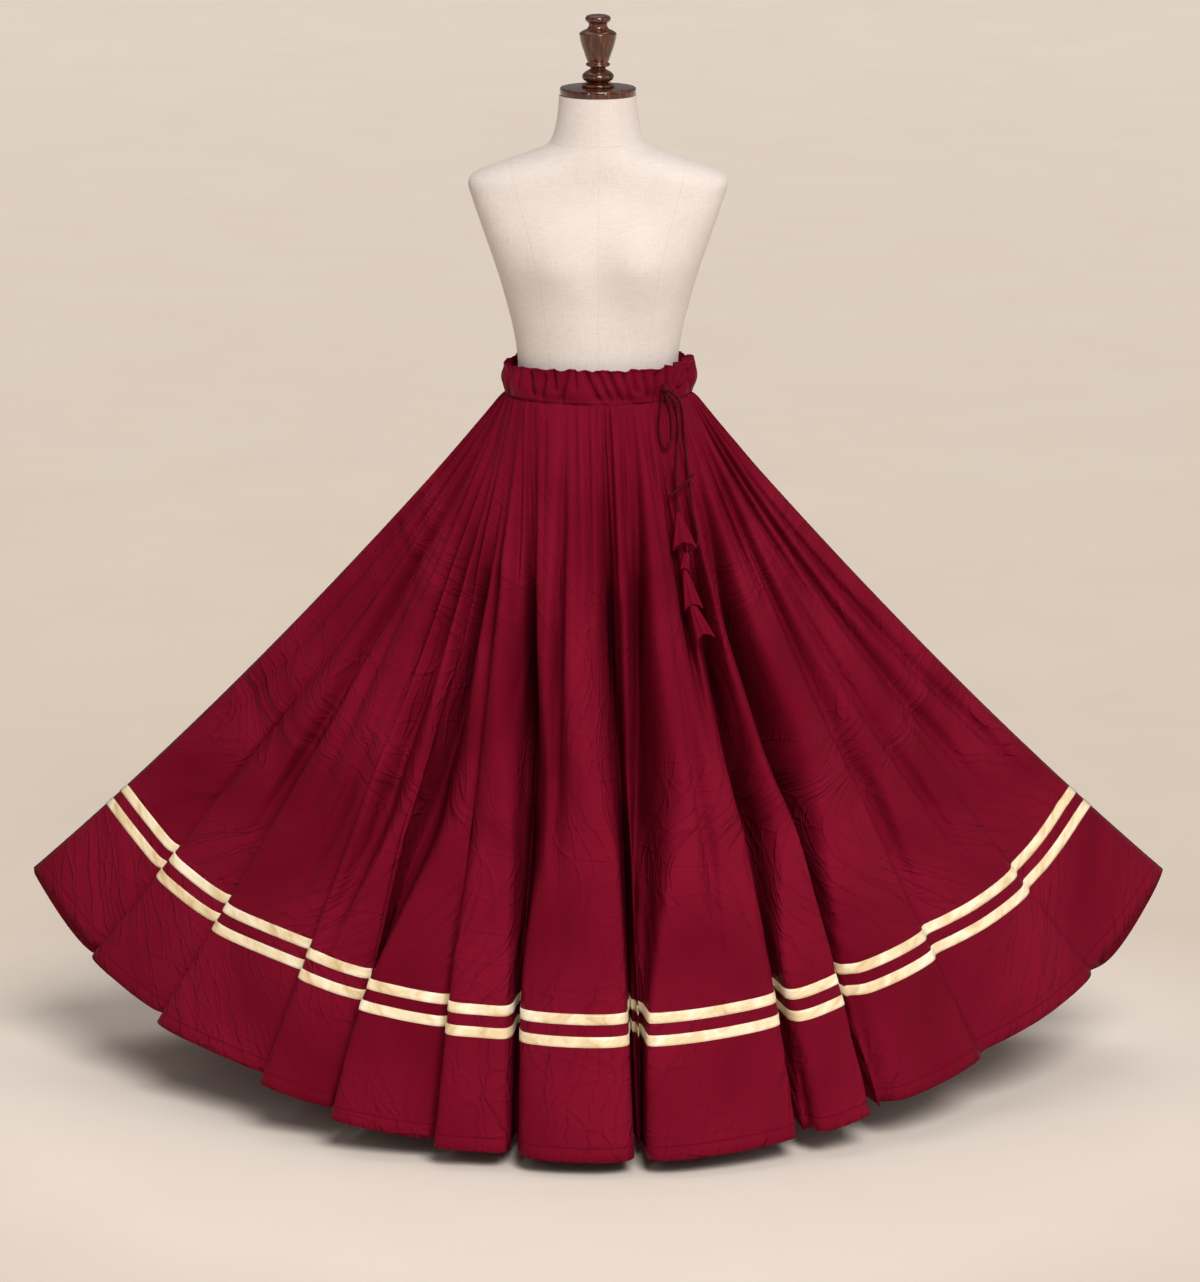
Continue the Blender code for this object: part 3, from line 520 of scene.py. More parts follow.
# Creases that run down a panel. Where each one lies along the hem, in metres from the
# panel's first side seam, at the waist and at the hem; the shares of the length at which
# it begins and ends; how deep it is at most; its half width on the cloth.
FRONT_CREASES = (
    (0.06, 0.10, -0.05, 0.40, 0.014, 0.016),
    (0.20, 0.22, -0.05, 0.34, 0.018, 0.016),
    (0.42, 0.44, -0.05, 0.44, 0.024, 0.018),
    (0.54, 0.56, -0.05, 0.36, 0.020, 0.016),
    (0.66, 0.65, -0.05, 0.56, 0.030, 0.018),
    (0.88, 0.80, -0.05, 0.48, 0.034, 0.018),
    (1.05, 1.02, -0.05, 0.42, 0.030, 0.017),
    (1.18, 1.16, -0.05, 0.36, 0.026, 0.016),
    (1.24, 1.22, -0.05, 0.30, 0.024, 0.014),
    (1.52, 1.50, -0.05, 0.30, 0.024, 0.014),
    (1.59, 1.56, -0.05, 0.32, 0.026, 0.015),
    (1.84, 1.78, -0.05, 0.40, 0.034, 0.017),
    (1.97, 1.90, -0.05, 0.44, 0.030, 0.016),
    (2.17, 2.14, -0.05, 0.38, 0.024, 0.016),
    (2.40, 2.46, -0.05, 0.42, 0.018, 0.016),
    (0.14, 0.02, 0.10, 0.75, 0.010, 0.014),
    (0.29, 0.16, 0.06, 0.80, 0.016, 0.019),
    (0.35, 0.36, 0.04, 0.82, 0.036, 0.022),
    (0.47, 0.52, 0.10, 0.70, 0.012, 0.017),
    (0.60, 0.57, 0.35, 0.82, 0.014, 0.020),
    (0.78, 0.71, -0.05, 0.84, 0.060, 0.023),
    (0.985, 0.835, -0.05, 1.50, 0.140, 0.031),
    (1.10, 1.05, 0.22, 0.86, 0.030, 0.018),
    (1.29, 1.232, 0.03, 1.50, 0.145, 0.030),
    (1.36, 1.31, -0.05, 0.66, 0.046, 0.015),
    (1.41, 1.38, -0.05, 0.40, 0.012, 0.008),
    (1.45, 1.475, 0.06, 1.50, 0.130, 0.028),
    (1.55, 1.485, 0.25, 1.20, 0.070, 0.034),
    (1.65, 1.515, 0.00, 1.50, 0.125, 0.026),
    (1.71, 1.69, 0.26, 0.82, 0.016, 0.014),
    (1.77, 1.74, -0.05, 0.52, 0.048, 0.016),
    (1.91, 1.80, -0.05, 1.50, 0.135, 0.026),
    (2.03, 1.96, 0.06, 1.50, 0.135, 0.026),
    (2.12, 2.10, -0.05, 0.34, 0.016, 0.012),
    (2.26, 2.22, -0.05, 0.84, 0.030, 0.022),
    (2.31, 2.41, 0.18, 0.82, 0.018, 0.017),
    (2.49, 2.56, -0.05, 0.76, 0.024, 0.015),
    (2.57, 2.68, 0.10, 0.86, 0.020, 0.014),
)
BACK_CREASES = (
    (0.16, 0.14, -0.05, 0.36, 0.018, 0.016),
    (0.45, 0.46, -0.05, 0.42, 0.026, 0.018),
    (0.74, 0.76, -0.05, 0.38, 0.030, 0.017),
    (1.02, 1.04, -0.05, 0.46, 0.028, 0.017),
    (1.15, 1.17, -0.05, 0.34, 0.024, 0.015),
    (1.43, 1.45, -0.05, 0.40, 0.030, 0.017),
    (1.75, 1.74, -0.05, 0.44, 0.024, 0.017),
    (1.94, 1.92, -0.05, 0.34, 0.018, 0.016),
    (0.10, 0.14, 0.10, 0.85, 0.016, 0.016),
    (0.24, 0.20, 0.00, 0.65, 0.018, 0.015),
    (0.37, 0.40, 0.05, 1.30, 0.050, 0.018),
    (0.52, 0.54, 0.22, 1.00, 0.018, 0.018),
    (0.66, 0.72, -0.05, 1.50, 0.062, 0.017),
    (0.80, 0.83, -0.05, 0.60, 0.028, 0.013),
    (0.93, 1.02, 0.04, 1.50, 0.060, 0.017),
    (1.11, 1.10, 0.28, 1.05, 0.016, 0.017),
    (1.22, 1.30, -0.05, 1.50, 0.070, 0.017),
    (1.36, 1.38, -0.05, 0.55, 0.026, 0.012),
    (1.49, 1.55, 0.06, 1.30, 0.056, 0.018),
    (1.67, 1.70, 0.18, 0.95, 0.020, 0.018),
    (1.84, 1.80, -0.05, 1.50, 0.050, 0.018),
    (2.02, 2.06, 0.10, 0.85, 0.020, 0.018),
    (2.20, 2.18, 0.05, 0.75, 0.014, 0.017),
)
# What a crease's profile is at shares of the length: its sharpness, then how much of its
# depth and of its width it has.
CREASE_SHARPNESS = ((0.55, 0.80), (1.5, 8.0))
CREASE_DEPTHS = ((0.58, 0.80, 1.0), (1.0, 0.42, 0.50))
CREASE_WIDTHS = ((0.0, 0.25, 0.50, 0.78, 1.0), (0.20, 0.44, 0.88, 0.52, 0.50))
# High up a crease has its steep wall on the right, and low down on the left.
LEAN = 0.45
LEAN_PLACES = (0.30, 0.62)
LEAN_FADES = ((0.62, 0.82), (1.0, 0.0))
# A crease has part of its depth soon after it begins, deepens over the next share of the
# length, and fades out before it ends.
CREASE_STARTS_IN = 0.04
CREASE_AT_WAIST = 0.30
CREASE_DEEPENS_BY = 0.26
CREASE_GROWTH = 1.2
CREASE_FADES_IN = 0.22
CREASE_BACKWARD = 0.9
CREASE_TAIL_ENDS = 50.0
# The clearance that a crease keeps from the form, the least room it is given, and how
# much room opens for each metre below the form.
CLEAR_OF_FORM = 0.0040
LEAST_ROOM = 0.0002
ROOM_OPENS = 0.8
# How fine the cloth's mesh is, and how its columns crowd together round a crease.
COLUMNS_OF_PANEL = {"front": 430, "back": 370}
CREASE_PULL = 2.2
CREASE_PULL_REACH = 2.4
CREASE_PULL_DEPTH = 0.02
PLACES_TRIED = 4000
ROWS = 96
ROW_CROWDING = 1.15
RIB_STEPS = 60
SHEET_STEPS = 720
TURN_OVERLAP = 2
POINTS_PER_FOLD = 4
MITRE_LIMIT = 0.55
# Gathers under the waistband: how many go round, how far they stand out, how far down
# they reach, and two numbers that make them uneven. Each trough is deeper than its ridge
# is high, and at the seam itself they start flatter, at a share and over a reach.
GATHERS = (
    (97, 0.0030, 0.055, 10, 9),
    (58, 0.0026, 0.140, 75, 7),
    (35, 0.0024, 0.300, 140, 5),
)
GATHER_UNEVEN = 0.35
GATHER_WANDER = 1.5
GATHER_TROUGHS = 5.0
GATHER_START = (0.25, 0.015)
# Ribbons on the skirt: the heights of their lower edges above the hem.
RIBBON_WIDTH = 0.0155
RIBBON_PITCH = 0.0325
LOWER_RIBBON_HEIGHT = 0.1640
RIBBON_ROWS = 4
RIBBON_CLEAR = 0.004


def hem_line():
    """Knots along the hem's base line and its values there, one turn and a bit more."""
    rows = table(FOLD_COLUMNS, FRONT_FOLDS + BACK_FOLDS)
    places = np.stack([rows["hem_x"], rows["hem_y"], rows["hem_z"]], axis=1)
    total = len(places)
    order = np.arange(-TURN_OVERLAP, total + TURN_OVERLAP + 1)
    turns = np.floor_divide(order, total)
    steps = np.linalg.norm(np.roll(places, -1, axis=0) - places, axis=1)
    run = np.concatenate([[0.0], np.cumsum(steps)])
    knots = run[order % total] + turns * run[-1]
    degrees = rows["waist_deg"][order % total] + turns * 360.0
    return knots, places[order % total], degrees


def lap_length():
    """Length of the base line once round the hem."""
    knots = hem_line()[0]
    return knots[TURN_OVERLAP + len(FRONT_FOLDS) + len(BACK_FOLDS)] - knots[TURN_OVERLAP]


def cloth_line(places):
    """Follow the cloth round the hem, at places counted in its control points: where it
    is on the base line, and how far it stands out."""
    rows = table(FOLD_COLUMNS, FRONT_FOLDS + BACK_FOLDS)
    knots = hem_line()[0][TURN_OVERLAP:]
    controls = []
    for i in range(len(rows["hem_x"])):
        width = knots[i + 1] - knots[i]
        shares = (0.0, rows["lead"][i], CREST_PLACE, FALL_PLACE)
        heights = (0.0, rows["rise"][i], rows["crest"][i], rows["fall"][i])
        controls += [(knots[i] + share * width, height) for share, height in zip(shares, heights)]
    controls = np.array(controls)
    lap = (knots[len(rows["hem_x"])] - knots[0], 0.0)
    ring = np.concatenate([controls[-TURN_OVERLAP:] - lap, controls, controls[: TURN_OVERLAP + 1] + lap])
    index = np.arange(len(ring), dtype=float) - TURN_OVERLAP
    along = hermite(index, ring[:, 0], places)
    out = np.maximum(hermite(index, ring[:, 1], places), 0.0)
    return along, out


def panel_places(first, last, creases, count):
    """Choose a panel's columns, closer together where a crease runs. Give them in
    control points and in metres along the hem from the panel's first seam."""
    fine = np.linspace(first, last, PLACES_TRIED)
    fine_along, fine_out = cloth_line(fine)
    hem = base_sheet(fine_along, [(1.0, 0.0)])[0][0]
    ahead = np.gradient(hem[:, :2], axis=0)
    ahead /= np.linalg.norm(ahead, axis=1, keepdims=True)
    hem[:, :2] += np.stack([ahead[:, 1], -ahead[:, 0]], axis=1) * fine_out[:, None]
    run = np.concatenate([[0.0], np.cumsum(np.linalg.norm(np.diff(hem, axis=0), axis=1))])
    pull = np.ones_like(run)
    for at_waist, at_hem, _, _, depth, half_width in creases:
        middle = (at_waist + at_hem) / 2
        reach = abs(at_hem - at_waist) / 2 + CREASE_PULL_REACH * half_width
        near = np.exp(-(((run - middle) / reach) ** 4))
        pull += CREASE_PULL * min(1.0, depth / CREASE_PULL_DEPTH) * near
    total = np.concatenate([[0.0], np.cumsum((pull[1:] + pull[:-1]) / 2 * np.diff(run))])
    wanted = np.interp(np.linspace(0.0, total[-1], count), total, run)
    return np.interp(wanted, run, fine), wanted


def crease_depth(run, points, shares, creases):
    """How far the creases push the cloth in, for each share down and place along. None
    goes deeper than the room to the form there."""
    room = room_inside(points)
    row_order = np.arange(len(shares))
    steps = np.linalg.norm(np.diff(points, axis=1), axis=-1)
    arcs = np.concatenate([np.zeros((len(shares), 1)), np.cumsum(steps, axis=1)], axis=1)
    total = np.zeros((len(shares), len(run)))
    narrowed = np.interp(shares, *CREASE_WIDTHS)
    sharpness = np.interp(shares, *CREASE_SHARPNESS)
    lessened = np.interp(shares, *CREASE_DEPTHS)
    for at_waist, at_hem, begins, ends, depth, half_width in creases:
        middle = at_waist + (at_hem - at_waist) * shares
        first = np.clip((shares - begins) / CREASE_STARTS_IN, 0.0, 1.0)
        grown = np.clip((shares - begins) / CREASE_DEEPENS_BY, 0.0, 1.0)
        grown = CREASE_AT_WAIST * first + (1 - CREASE_AT_WAIST) * grown**CREASE_GROWTH
        faded = np.clip((ends - shares) / CREASE_FADES_IN, 0.0, 1.0)
        column = np.clip(np.searchsorted(run, middle[:, 0]), 0, len(run) - 1)
        limit = room[row_order, column][:, None]
        middle = np.array([[np.interp(place[0], run, arc)] for place, arc in zip(middle, arcs)])
        away = (arcs - middle) / (half_width * narrowed)
        leant = np.clip((shares - LEAN_PLACES[0]) / (LEAN_PLACES[1] - LEAN_PLACES[0]), 0.0, 1.0)
        leant = LEAN * (2 * leant * leant * (3 - 2 * leant) - 1) * np.interp(shares, *LEAN_FADES)
        away = np.where(away < 0, -away / (1 - leant), away / (1 + leant))
        faded = faded * faded * (3 - 2 * faded)
        deep = limit * np.tanh(depth * grown * faded * lessened / limit)
        total += deep * np.exp(-np.minimum(away**sharpness, CREASE_TAIL_ENDS))
    return total


def room_inside(points):
    """How far each point of the cloth can move in before it meets the form."""
    rows = table(FORM_COLUMNS, FORM_SECTIONS[::-1])
    above = points[..., 2] - SEAM_Z
    size = {name: np.interp(above, rows["above_seam"], rows[name]) for name in FORM_COLUMNS[1:]}
    deep = np.where(points[..., 1] < 0, size["front"], size["back"])
    level = (np.abs(points[..., 0]) / size["half_width"]) ** size["square"]
    level += (np.abs(points[..., 1]) / deep) ** size["square"]
    far = np.linalg.norm(points[..., :2], axis=-1)
    room = far * (1.0 - level ** (-1.0 / size["square"])) - CLEAR_OF_FORM
    below = np.maximum(FORM_SECTIONS[-1][0] - above, 0.0)
    return np.clip(room + ROOM_OPENS * below, LEAST_ROOM, far - POLE_RADIUS)


def plan_normals(points):
    """Level outward normals of closed rings of points, ring by ring."""
    ahead = np.roll(points, -1, axis=-2) - points
    behind = points - np.roll(points, 1, axis=-2)
    ahead = ahead / np.linalg.norm(ahead[..., :2], axis=-1, keepdims=True)
    behind = behind / np.linalg.norm(behind[..., :2], axis=-1, keepdims=True)
    tangent = ahead + behind
    normal = np.stack([tangent[..., 1], -tangent[..., 0], np.zeros_like(tangent[..., 0])], axis=-1)
    return normal / np.linalg.norm(normal, axis=-1, keepdims=True)


def base_sheet(along, rings):
    """The smooth sheet on which the folds stand: a bowed rib for each place.

    A ring is a pair: its share of the rib's length, and a height above that point.
    """
    knots, places, degrees = hem_line()
    hem = np.stack([hermite(knots, places[:, i], along) for i in range(3)], axis=1)
    turn = np.radians(hermite(knots, degrees, along))
    waist = np.stack(
        [WAIST_HALF_WIDTH * np.sin(turn), -WAIST_HALF_DEPTH * np.cos(turn), np.full_like(turn, SEAM_Z)],
        axis=1,
    )
    sideways = np.abs(hem[:, 0]) / np.abs(hem[:, 0]).max()
    radial = hem[:, :2] / np.linalg.norm(hem[:, :2], axis=1, keepdims=True)
    bend = (hem + waist) / 2.0
    bend[:, :2] += radial * (FRONT_BOW * (1.0 - sideways))[:, None]
    bend[:, 2] -= SIDE_SAG * sideways
    s = np.linspace(0.0, 1.0, RIB_STEPS + 1)[:, None, None]
    ribs = (1 - s) ** 2 * waist + 2 * s * (1 - s) * bend + s**2 * hem
    steps = np.linalg.norm(np.diff(ribs, axis=0), axis=2)
    down = np.concatenate([np.zeros((1, steps.shape[1])), np.cumsum(steps, axis=0)])
    sheet = np.empty((len(rings), len(along), 3))
    for j in range(len(along)):
        wanted = [share * down[-1, j] - height for share, height in rings]
        for axis in range(3):
            sheet[:, j, axis] = np.interp(wanted, down[:, j], ribs[:, j, axis])
    return sheet, down[-1], turn


def grid_normals(points):
    """Outward offsets of rings of points stacked from the top down, each made longer
    where the ring bends, so that the cloth keeps its thickness."""
    ahead = np.roll(points, -1, axis=1) - points
    ahead /= np.linalg.norm(ahead, axis=-1, keepdims=True)
    round_way = ahead + np.roll(ahead, 1, axis=1)
    round_way /= np.linalg.norm(round_way, axis=-1, keepdims=True)
    bend = np.clip((round_way * ahead).sum(axis=-1, keepdims=True), MITRE_LIMIT, 1.0)
    down_way = np.gradient(points, axis=0)
    normal = np.cross(round_way, -down_way)
    return normal / np.linalg.norm(normal, axis=-1, keepdims=True) / bend


def cloth_shell(name, outer, inner, uv, closed=False):
    """Close two grids of points into one wall of cloth with a map in metres."""
    rows, columns = outer.shape[:2]
    shift = rows * columns
    last = columns if closed else columns - 1
    i, j = np.meshgrid(np.arange(rows - 1), np.arange(last), indexing="ij")
    a = (i * columns + j).ravel()
    b = (i * columns + (j + 1) % columns).ravel()
    faces = [np.stack([a, a + columns, b + columns, b], axis=1)]
    faces.append(np.stack([a, b, b + columns, a + columns], axis=1) + shift)
    top_a = np.arange(last)
    top_b = (top_a + 1) % columns
    low_a = top_a + (rows - 1) * columns
    low_b = top_b + (rows - 1) * columns
    faces.append(np.stack([top_a, top_b, top_b + shift, top_a + shift], axis=1))
    faces.append(np.stack([low_a, low_a + shift, low_b + shift, low_b], axis=1))
    if not closed:
        side = np.arange(rows - 1) * columns
        faces.append(np.stack([side, side + shift, side + columns + shift, side + columns], axis=1))
        side = side + columns - 1
        faces.append(np.stack([side, side + columns, side + columns + shift, side + shift], axis=1))
    faces = np.concatenate(faces)
    mesh = bpy.data.meshes.new(name)
    vertices = np.concatenate([outer.reshape(-1, 3), inner.reshape(-1, 3)])
    mesh.from_pydata(vertices.tolist(), [], faces.tolist())
    chart = mesh.uv_layers.new(name="cloth")
    corners = np.concatenate([uv.reshape(-1, 2)] * 2)[faces]
    if closed:
        wrapped = (corners[:, :, 0].max(axis=1) - corners[:, :, 0].min(axis=1)) > 0.5 * uv[..., 0].max()
        low_side = corners[:, :, 0] < 0.5 * uv[..., 0].max()
        lap = uv[..., 0].max() + uv[0, 1, 0] - uv[0, 0, 0]
        corners[..., 0] += np.where(wrapped[:, None] & low_side, lap, 0.0)
    chart.data.foreach_set("uv", corners.reshape(-1).astype(np.float32))
    mesh.shade_smooth()
    return put(name, mesh)


def gather_waves(turn, down):
    """How far the gathers stand out, round the waist and down from the seam."""
    total = np.zeros((down.shape[0], len(turn)))
    for count, height, reach, shift, uneven in GATHERS:
        shifted = turn + math.radians(shift)
        strength = 1.0 - GATHER_UNEVEN + GATHER_UNEVEN * np.sin(uneven * shifted)
        swing = np.cos(count * turn + GATHER_WANDER * np.sin(uneven * turn + shift))
        total += height * strength * swing * np.exp(-down / reach)
    return total * np.minimum(1.0, GATHER_START[0] + down / GATHER_START[1])


edge_heights = []
for low_edge in (LOWER_RIBBON_HEIGHT + RIBBON_PITCH, LOWER_RIBBON_HEIGHT):
    edge_heights += [low_edge + RIBBON_WIDTH * (1 - k / RIBBON_ROWS) for k in range(RIBBON_ROWS + 1)]
ribbons_from = LOWER_RIBBON_HEIGHT - RIBBON_CLEAR
ribbons_to = LOWER_RIBBON_HEIGHT + RIBBON_PITCH + RIBBON_WIDTH + RIBBON_CLEAR
ring_list = []
for ring_share in np.linspace(0.0, 1.0, ROWS) ** ROW_CROWDING:
    above_hem = (1.0 - ring_share) * RIB_LENGTH
    if not ribbons_from < above_hem < ribbons_to:
        ring_list.append((ring_share, 0.0, above_hem))
for edge_height in edge_heights + [LOWER_RIBBON_HEIGHT + 0.5 * (RIBBON_WIDTH + RIBBON_PITCH)]:
    ring_list.append((1.0, edge_height, edge_height))
ring_list.sort(key=lambda ring: -ring[2])
ring_pairs = [ring[:2] for ring in ring_list]
above_hem_of_ring = np.array([ring[2] for ring in ring_list])
ribbon_top_row = {
    "upper": int(np.argmin(np.abs(above_hem_of_ring - edge_heights[0]))),
    "lower": int(np.argmin(np.abs(above_hem_of_ring - edge_heights[RIBBON_ROWS + 1]))),
}

side_seam = POINTS_PER_FOLD * len(FRONT_FOLDS)
whole_turn = POINTS_PER_FOLD * (len(FRONT_FOLDS) + len(BACK_FOLDS))
front_places, front_run = panel_places(0, side_seam, FRONT_CREASES, COLUMNS_OF_PANEL["front"])
back_places, back_run = panel_places(side_seam, whole_turn, BACK_CREASES, COLUMNS_OF_PANEL["back"])
along, out = cloth_line(np.concatenate([front_places[:-1], back_places[:-1]]))
sheet, rib_lengths, waist_turn = base_sheet(along, ring_pairs)
start = hem_line()[0][TURN_OVERLAP]
lap = lap_length()
fine_along = np.linspace(start, start + lap, SHEET_STEPS, endpoint=False)
smooth_normals = plan_normals(base_sheet(fine_along, ring_pairs)[0])
where_along = np.mod(along - start, lap) / lap * SHEET_STEPS
low_step = np.floor(where_along).astype(int) % SHEET_STEPS
step_share = (where_along - np.floor(where_along))[:, None]
next_step = (low_step + 1) % SHEET_STEPS
direction = smooth_normals[:, low_step] * (1 - step_share) + smooth_normals[:, next_step] * step_share
shares = np.array([share - height / RIB_LENGTH for share, height in ring_pairs])[:, None]
down = shares * rib_lengths[None, :]
skirt_points = sheet + direction * (out[None, :] * shares**FOLD_GROWTH)[..., None]
seam_column = len(front_places) - 1
front_columns = np.arange(0, seam_column + 1)
back_columns = np.append(np.arange(seam_column, skirt_points.shape[1]), 0)
creases = np.concatenate(
    [
        crease_depth(front_run, skirt_points[:, front_columns], shares, FRONT_CREASES)[:, :-1],
        crease_depth(back_run, skirt_points[:, back_columns], shares, BACK_CREASES)[:, :-1],
    ],
    axis=1,
)
gathers = gather_waves(waist_turn, down)
skirt_points += direction * np.maximum(gathers, 0.0)[..., None]
creases += GATHER_TROUGHS * np.maximum(-gathers, 0.0)
room = room_inside(skirt_points)
seam_sides = np.where(np.arange(skirt_points.shape[1]) < len(front_places) - 1, -1.0, 1.0)
inward = direction + np.stack([0 * seam_sides, CREASE_BACKWARD * seam_sides, 0 * seam_sides], axis=-1)
inward /= np.linalg.norm(inward, axis=-1, keepdims=True)
skirt_points -= inward * (room * np.tanh(creases / room))[..., None]
skirt_points[0, :, 2] = SEAM_Z - SEAM_GAP
skirt_normals = grid_normals(skirt_points)
skirt_inside = skirt_points - skirt_normals * CLOTH
skirt_inside[0, :, 2] = SEAM_Z - SEAM_GAP


def parted(points, gap):
    """Draw the two end columns of a strip of rings back by half the seam's gap."""
    points = points.copy()
    first = points[:, 1] - points[:, 0]
    final = points[:, -2] - points[:, -1]
    points[:, 0] += first / np.linalg.norm(first, axis=-1, keepdims=True) * gap / 2
    points[:, -1] += final / np.linalg.norm(final, axis=-1, keepdims=True) * gap / 2
    return points


def cloth_chart(columns, rows):
    """A map in metres for these columns and rows: along each row, and up from the hem."""
    steps = np.linalg.norm(np.diff(skirt_points[rows][:, columns], axis=1), axis=-1)
    run = np.concatenate([np.zeros((len(rows), 1)), np.cumsum(steps, axis=1)], axis=1)
    up = (1.0 - shares[rows]) * rib_lengths[None, columns]
    return np.stack([run - run[:, -1:] / 2, up], axis=-1)


# Taffeta: a crisp plain weave of fine filament yarn. It shines softly, and it keeps
# every crease, so fine crinkles run through the broad folds. Its rib is drawn about five
# times too coarse, because a real one wouldn't show.
TAFFETA_RIB_MM = 1.6
TAFFETA_RIB_HEIGHT = 0.00004
FLAT_NOISE = {"noise_dimensions": "2D"}
# Crinkles: how many to a metre across the cloth and down it, how they are turned,
# whether they are soft waves or pressed folds, and their height.
CRINKLES = (
    ((13.0, 1.6), 0.0, "wave", 0.0100),
    ((40.0, 7.0), 4.0, "wave", 0.0018),
    ((22.0, 9.0), 38.0, "fold", 0.0014),
    ((26.0, 9.0), -50.0, "fold", 0.0012),
    ((9.0, 22.0), 14.0, "fold", 0.0009),
)
CRINKLE_WANDER = 0.025
FOLD_LINE_SHARE = 0.07
STITCH_LINE_WIDTH = 0.0016
STITCH_DEPTH = 0.0004


def taffeta_material(name, crinkle, stitch_line):
    """Taffeta with this much of its crinkles and a sewn line at this height of its map."""
    made, shader = material(name)
    chart = node(made, "UVMap", {"uv_map": "cloth"}).outputs[0]
    patches = node(made, "TexNoise", {**FLAT_NOISE, "Scale": 4.0, "Detail": 2.0}, Vector=chart)
    wander = node(made, "TexNoise", {**FLAT_NOISE, "Scale": 9.0, "Detail": 1.0}, Vector=chart)
    added = {"data_type": "VECTOR", "blend_type": "ADD", 0: CRINKLE_WANDER}
    bent = node(made, "Mix", added, i4=chart, i5=wander.outputs["Color"])
    thread_map = node(made, "Mapping", {"Scale": (400.0, 1000 / TAFFETA_RIB_MM, 1.0)}, Vector=chart)
    threads = node(made, "TexNoise", {**FLAT_NOISE, "Scale": 1.0, "Detail": 0.0}, Vector=thread_map)
    relief = node(made, "Math", {"operation": "MULTIPLY", 1: TAFFETA_RIB_HEIGHT}, i0=threads)
    here = node(made, "MapRange", {"From Min": 0.37, "From Max": 0.53}, Value=patches)
    for scale, turn_deg, kind, height in CRINKLES:
        turned_by = (0.0, 0.0, math.radians(turn_deg))
        placed = node(
            made, "Mapping", {"Scale": (*scale, 1.0), "Rotation": turned_by}, Vector=bent.outputs[1]
        )
        if kind == "wave":
            shape = node(made, "TexNoise", {**FLAT_NOISE, "Scale": 1.0, "Detail": 1.0}, Vector=placed)
        else:
            edges = {"voronoi_dimensions": "2D", "feature": "DISTANCE_TO_EDGE", "Scale": 1.0}
            cells = node(made, "TexVoronoi", edges, Vector=placed)
            fold = node(
                made,
                "MapRange",
                {"From Max": FOLD_LINE_SHARE, "To Min": 1.0, "To Max": 0.0},
                Value=cells.outputs["Distance"],
            )
            shape = node(made, "Math", {"operation": "MULTIPLY"}, i0=fold, i1=here)
        relief = node(made, "Math", {"operation": "MULTIPLY_ADD", 1: height}, i0=shape, i2=relief)
    up = node(made, "SeparateXYZ", i0=chart).outputs["Y"]
    flatter = {"From Min": 0.55, "From Max": 1.05, "To Min": 1.0, "To Max": 0.3}
    calm = node(made, "MapRange", flatter, Value=up)
    relief = node(made, "Math", {"operation": "MULTIPLY"}, i0=relief, i1=calm)
    from_line = node(made, "Math", {"operation": "SUBTRACT", 1: stitch_line}, i0=up)
    from_line = node(made, "Math", {"operation": "ABSOLUTE"}, i0=from_line)
    line = {"From Max": STITCH_LINE_WIDTH, "To Min": 1.0, "To Max": 0.0}
    sewn = node(made, "MapRange", line, Value=from_line)
    relief = node(made, "Math", {"operation": "MULTIPLY_ADD", 1: -STITCH_DEPTH}, i0=sewn, i2=relief)
    tone = node(made, "ValToRGB", {"stops": ((0.30, "#630A1D"), (0.70, "#741026"))}, i0=patches)
    sewn_tone = {"data_type": "RGBA", "B": linear("#5A0819")}
    tone = node(made, "Mix", sewn_tone, i0=sewn, i6=tone).outputs[2]
    bump = node(made, "Bump", {"Strength": crinkle, "Distance": 1.0}, Height=relief)
    lustre = {"Roughness": 0.45, "IOR": 1.46, "Specular Tint": linear("#D04058"), "Specular IOR Level": 0.05}
    nap = {"Sheen Weight": 0.02, "Sheen Roughness": 0.4, "Sheen Tint": linear("#B01838")}
    finish_shader(made, shader, tone, bump, {**lustre, **nap})
    return made


taffeta = taffeta_material("maroon_taffeta_panel", 1.0, HEM_TURN_UP)
for side, columns in (("front", front_columns), ("back", back_columns)):
    piece = cloth_shell(
        "skirt_panel_" + side,
        parted(skirt_points[:, columns], SEAM_GAP),
        parted(skirt_inside[:, columns], SEAM_GAP),
        cloth_chart(columns, np.arange(len(ring_pairs))),
    )
    finish_piece(piece, taffeta, "maroon_taffeta", "skirt_" + side)


# The ribbons. Two bands of champagne satin ribbon are laid on the skirt above the hem
# and stitched down along both edges, so they bend wherever the cloth does.
RIBBON_LIFT = 0.0003
RIBBON_THICKNESS = 0.0006
RIBBON_RIPPLES_AND_SHEEN_PER_M = 26.0
RIBBON_THREADS_PER_M = 900.0

# Satin ribbon: long polished floats of yarn lie across it. Its bright and dark patches are
# painted into its colour as painted highlight and shade, from the same noise that ripples it.
satin, satin_shader = material("champagne_satin_ribbon")
chart = node(satin, "UVMap", {"uv_map": "cloth"}).outputs[0]
ripple_and_sheen_place = {"Scale": (RIBBON_RIPPLES_AND_SHEEN_PER_M, 30.0, 1.0), "Rotation": (0, 0, 0.3)}
ripple_and_sheen_map = node(satin, "Mapping", ripple_and_sheen_place, Vector=chart)
ripple_and_sheen_noise = {"Scale": 1.0, "Detail": 3.0, "Roughness": 0.55, "Distortion": 0.8}
ripple_and_painted_sheen = node(satin, "TexNoise", ripple_and_sheen_noise, Vector=ripple_and_sheen_map)
# Painted highlight and shade: the palest stop is a painted highlight, the darkest a painted shade.
satin_painted_sheen_stops = ((0.30, "#C9A878"), (0.48, "#E4CDA4"), (0.70, "#F6EAD0"))
satin_painted_sheen_tone = node(satin, "ValToRGB", {"stops": satin_painted_sheen_stops}, i0=ripple_and_painted_sheen)
rib_map = node(satin, "Mapping", {"Scale": (RIBBON_THREADS_PER_M, 40.0, 1.0)}, Vector=chart)
satin_ribs = node(satin, "TexNoise", {"Scale": 1.0, "Detail": 1.0}, Vector=rib_map)
